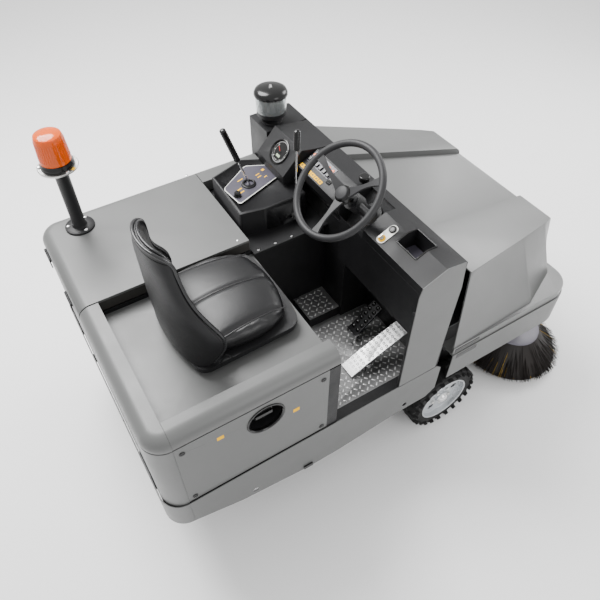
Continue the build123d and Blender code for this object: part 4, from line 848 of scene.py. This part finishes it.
# %% Storage tray
rim_points = [(58, -507, 0), (152, -507, 0), (152, -398, 0), (58, -398, 0)]
tray_rim = bmesh.new()
for k, (x, y, _) in enumerate(rim_points):
    nx, ny, _ = rim_points[(k + 1) % 4]

    def on_top(px):
        return 1190 + (px - 6) * 43 / 101 if px < 107 else 1233 - (px - 107) * 8 / 89
    spans = [(x, y), ((x + nx) / 2, (y + ny) / 2), (nx, ny)]
    join(tray_rim, tube([(px, py, on_top(px) + 1.0) for px, py in spans], 3.2, order=2))
piece("tray lip", tray_rim, gloss_black, "chassis")
piece("tray insert", slab((86, 101, 2), facing((105, -452.5, 1156), (0, 0, 1))), plum, "chassis", bevel=1.0)
screws = bmesh.new()
for y in (-490, -415):
    join(screws, turned([(0, 4), (4, 3.5), (6, 1), (6, 0), (0, 0)], facing((105, y, 1158), (0, 0, 1)), steps=16))
piece("tray screws", screws, chrome, "chassis")
print("tray")

# %% [markdown]
# Instruments sit in the hooded pod to the driver's left: a round dial behind a bright bezel with white marks, and
# a small display in it. The marks are thin slabs laid on the face, long at every fifth.

# %% Instruments
GAUGE_SLOPE = math.atan2(100, 94)
GAUGE_UP = Vector((-math.sin(GAUGE_SLOPE), 0, math.cos(GAUGE_SLOPE)))


def on_gauge(lift, dx=0.0, dy=0.0):
    place = facing(tuple(Vector((-17, 326, 1200)) + GAUGE_UP * lift), GAUGE_UP, (0, -1, 0))
    return place @ Matrix.Translation((dx * MM, dy * MM, 0))


piece("dial face", turned([(0, 1.2), (45, 1.2), (45, 0), (0, 0)], on_gauge(-6)), gloss_black, "chassis")
piece("dial bezel", turned([(46, 0), (54, 0), (57, 4), (56, 10), (52, 11), (48, 6)], on_gauge(-5), steps=64), gloss_black, "chassis")
piece("dial ring", turned([(43.5, 1), (45.8, 1), (45.8, 3), (43.5, 3)], on_gauge(-5), steps=64), chrome, "chassis")
marks = bmesh.new()
for k in range(25):
    a = math.radians(-215 + 250 * k / 24)
    long_one = k % 4 == 0
    turn = on_gauge(-4.8) @ Matrix.Rotation(a, 4, "Z") @ Matrix.Translation((0.038, 0, 0))
    join(marks, slab((7 if long_one else 4, 1.6 if long_one else 0.9, 0.4), turn))
piece("dial marks", marks, white, "chassis")
piece("dial needle", slab((34, 1.8, 1.0), on_gauge(-4.2) @ Matrix.Rotation(math.radians(150), 4, "Z") @ Matrix.Translation((0.013, 0, 0))),
      red, "chassis")
piece("dial display", slab((26, 11, 0.6), on_gauge(-4.6, 0, -18)), lcd, "chassis")
piece("dial boss", turned([(0, 3), (4, 2.4), (5, 0), (0, 0)], on_gauge(-4.2), steps=16), gloss_black, "chassis")
small = bmesh.new()
for k in range(4):
    join(small, slab((16, 7, 0.8), facing((120, 250 + 40 * k, 1233.5 - 0.8), (0.11, 0, 0.99))))
piece("pod labels", small, yellow, "chassis")
print("instruments")

# %% [markdown]
# The lever console. A dark plate with a fine pale border carries the hopper's levers; a throttle with a yellow arc
# sits in its corner. Lever grips are ribbed so that a gloved hand holds them.

# %% Lever console
def on_console(x, y, lift=0.0):
    return facing((x, y, 1104.3 + lift), (0, 0, 1))


plate = [(-290, 334), (-276, 214), (-40, 297), (-54, 387), (-138, 430)]


def raised_plate(outline, z, thick):
    bm = bmesh.new()
    face = bm.faces.new([bm.verts.new(at(x, y, z)) for x, y in outline])
    up = [g for g in bmesh.ops.extrude_face_region(bm, geom=[face])["geom"] if isinstance(g, bmesh.types.BMVert)]
    bmesh.ops.translate(bm, verts=up, vec=(0, 0, thick * MM))
    corners = [e for e in bm.edges if abs(e.verts[0].co.z - e.verts[1].co.z) > 1e-5]
    bmesh.ops.bevel(bm, geom=corners, offset=0.014, affect="EDGES", segments=6, profile=0.5, material=-1)
    return bm


middle = [sum(c) / len(plate) for c in zip(*plate)]
grown = [(x + (x - middle[0]) * 0.03, y + (y - middle[1]) * 0.05) for x, y in plate]
piece("lever plate border", raised_plate(grown, 1103.6, 1.4), white, "chassis")
piece("lever plate", raised_plate(plate, 1104.2, 1.6), plum, "chassis")
marks = bmesh.new()
for x, y, w, d, turn in ((-236, 296, 26, 6, 0.3), (-236, 274, 26, 6, 0.3), (-120, 330, 22, 5, 0.3), (-120, 348, 22, 5, 0.3),
                         (-96, 318, 16, 5, 0.3), (-204, 352, 30, 5, 0.3), (-84, 366, 14, 12, 0.3)):
    join(marks, slab((w, d, 0.5), on_console(x, y, 1.5) @ Matrix.Rotation(turn, 4, "Z")))
piece("lever plate marks", marks, yellow, "chassis")
arc = [(-262 + 34 * math.cos(a), 262 + 34 * math.sin(a), 1097.8) for a in [math.radians(20 + 16 * k) for k in range(8)]]
piece("throttle scale", tube(arc, 1.6), yellow, "chassis")
piece("throttle knob", turned([(0, 22), (10, 21), (14, 17), (15, 4), (18, 0), (0, 0)], on_console(-262, 262, 1)), gloss_black, "chassis")
collar = [(21, 9), (24, 10), (26, 7), (31, 5), (33, 0), (21, 0)]
piece("lever collar", turned(collar, facing((-184, 308, 1105.8), (0, 0, 1)), steps=32), moulded, "chassis")


def lever(name, body, start, end, grip_from, radius, material=chrome):
    a, b = Vector(start), Vector(end)
    piece(name + " rod", tube([tuple(a), tuple(a.lerp(b, 0.5)), tuple(b)], radius, order=2), material, body)
    place = facing(tuple(a.lerp(b, grip_from)), b - a)
    length = (b - a).length * (1 - grip_from)
    profile = [(0, -2), (11, -2)]
    steps = 12
    for k in range(steps):
        profile += [(13.6, length * (k + 0.2) / steps), (11.8, length * (k + 0.9) / steps)]
    profile += [(12.5, length * 1.0), (8, length + 4), (0, length + 5)]
    piece(name + " grip", turned(profile, place, steps=24), gloss_black, body)


way = Vector((-135, -50, 380)).normalized()
foot = Vector((-165, 315, 1060))
lever("gate lever", "gate_lever", foot, foot + way * 396, 0.54, 5)
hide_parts("gate_lever")
lever("selector lever", "selector_lever", (-70, 110, 1020), (-46, 130, 1420), 0.80, 4.5)
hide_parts("selector_lever")
piece("selector hub", turned([(0, 0), (16, 0), (16, 17), (8, 18), (8, 25), (0, 25)], facing((-70, 104, 1020), (0, 1, 0))), bright, "selector_lever")
print("levers")

# %% [markdown]
# Small hardware tells the scale: slotted quarter-turn fasteners on the service panel, the filler's ring and cap,
# hinges behind the engine cover, screws on the cover and the ledge.

# %% Hardware
def screw(place, radius, slot_width=2.0):
    head = turned([(0, 2.6), (radius * 0.6, 2.4), (radius * 0.95, 1.2), (radius, 0), (0, 0)], place, steps=24)
    return join(head, slab((radius * 1.4, slot_width, 1.2), place @ Matrix.Translation((0, 0, 2.2 * MM))))


fasteners = bmesh.new()
for side in (-1, 1):
    for x in (-935, -391):
        for z in (615, 940):
            join(fasteners, screw(facing((x, side * 616.6, z), (0, side, 0)), 11))
piece("panel fasteners", fasteners, gloss_black, "chassis")
ring = [(66, -10), (74, -10), (76, 0), (74, 4), (69, 4), (66, 0)]
piece("filler ring", turned(ring, facing((-627, -615, 888), (0, -1, 0)), steps=64), gloss_black, "chassis")
piece("fuel cap", from_frame("fuel_cap"), gloss_black, "fuel_cap", bevel=3.0, segments=3, instead_of=["fuel_cap"])
tags = bmesh.new()
for x, z in ((-800, 915), (-505, 838)):
    join(tags, slab((26, 20, 0.4), facing((x, -615.1, z), (0, -1, 0)), taper=0.55 if x < -700 else 1.0))
piece("panel tags", tags, yellow, "chassis")
hinges = bmesh.new()
for y in (190, 470):
    join(hinges, slab((26, 90, 5), facing((-1046.5, y, 960), (-1, 0, 0), (0, 0, 1)), taper=0.95))
    join(hinges, tube([(-1046, y - 40, 982), (-1046, y, 982), (-1046, y + 40, 982)], 6, order=2))
piece("cover hinges", hinges, powder, "chassis", bevel=0.8)
# A thin sheet of painted shade laid over the engine cover's side face towards the seat.
piece("cover side", slab((676, 44, 1.2), facing((-660, 60, 1008), (0, -1, 0))), cover_side_painted_shade, "engine_cover", bevel=0.4)
small = bmesh.new()
for x, y in ((-740, 84), (-700, 84), (-360, 84), (-360, 590)):
    join(small, screw(facing((x, y, 1040), (0, 0, 1)), 6, 1.2))
piece("cover screws", small, chrome, "engine_cover")
small = bmesh.new()
for x in (-290, -210, -130, -50):
    join(small, turned([(0, 5), (5, 4.5), (8, 2), (8, 0), (0, 0)], facing((x, 41, 985), (0, 0, 1)), steps=6))
piece("ledge bolts", small, chrome, "chassis")
latch = slab((44, 20, 8), facing((-454, -621, 352), (0, -1, 0)))
piece("skirt latch", latch, gloss_black, "chassis", bevel=2.0)
vents = bmesh.new()
for side in (-1, 1):
    for k in range(9):
        join(vents, slab((120, 5, 4), facing((-1042.5, side * 430, 560 + 12 * k), (-1, 0, 0), (0, 1, 0))))
piece("rear ribs", vents, powder, "chassis", bevel=0.8)
print("hardware")

# %% [markdown]
# Grip strip and marks on the hood stay plain: two low trim lines where the real machine has its lettering.

# %% Hood trim
for side in (-1, 1):
    recess = slab((140, 20, 3), facing((371, side * 613.5, 618), (0, side, 0)))
    piece("hood finger slot " + ("right" if side < 0 else "left"), recess, gloss_black, "hood", bevel=1.5)
print("hood trim")

# %% [markdown]
# The stage: a pale floor, a pale sky and three soft lights. The main one hangs high on the left, a second opens
# the right side, and a low one from behind draws an edge of light along the seat and the hood.

# %% Stage, light and camera
bm = bmesh.new()
bmesh.ops.create_grid(bm, x_segments=1, y_segments=1, size=12.0)
mesh = bpy.data.meshes.new("studio floor")
bm.to_mesh(mesh)
bm.free()
floor = bpy.data.objects.new("studio floor", mesh)
bpy.context.scene.collection.objects.link(floor)
mesh.materials.append(finish("studio floor", (0.95, 0.95, 0.95, 1.0), 0.7, bump=0.0, cloud=0.004, rub=0.02))
floor.location.z = -0.0005
world = bpy.data.worlds.new("sky")
bpy.context.scene.world = world
world.use_nodes = True
world.node_tree.nodes["Background"].inputs["Color"].default_value = (1, 1, 1, 1)
world.node_tree.nodes["Background"].inputs["Strength"].default_value = 1.1


def softbox(name, place, target, size, power):
    lamp = bpy.data.lights.new(name, "AREA")
    lamp.shape = "DISK"
    lamp.size = size
    lamp.energy = power
    obj = bpy.data.objects.new(name, lamp)
    obj.location = place
    obj.rotation_euler = (Vector(target) - Vector(place)).to_track_quat("-Z", "Y").to_euler()
    bpy.context.scene.collection.objects.link(obj)


softbox("main light", (-1.2, 2.2, 4.4), (0, 0, 0.7), 2.8, 430)
softbox("side light", (0.6, -3.6, 2.8), (0, 0, 0.6), 2.2, 40)
softbox("front light", (3.6, 0.6, 2.8), (0.3, 0, 0.7), 2.0, 100)

lens = bpy.data.cameras.new("camera")
lens.lens = 35.52
lens.sensor_width = 36.0
camera = bpy.data.objects.new("camera", lens)
camera.location = at(-1071.6, -1565.3, 2700)
camera.rotation_euler = Vector((0.3439, 0.5618, -0.7524)).to_track_quat("-Z", "Y").to_euler()
bpy.context.scene.collection.objects.link(camera)
bpy.context.scene.camera = camera
print("stage set")
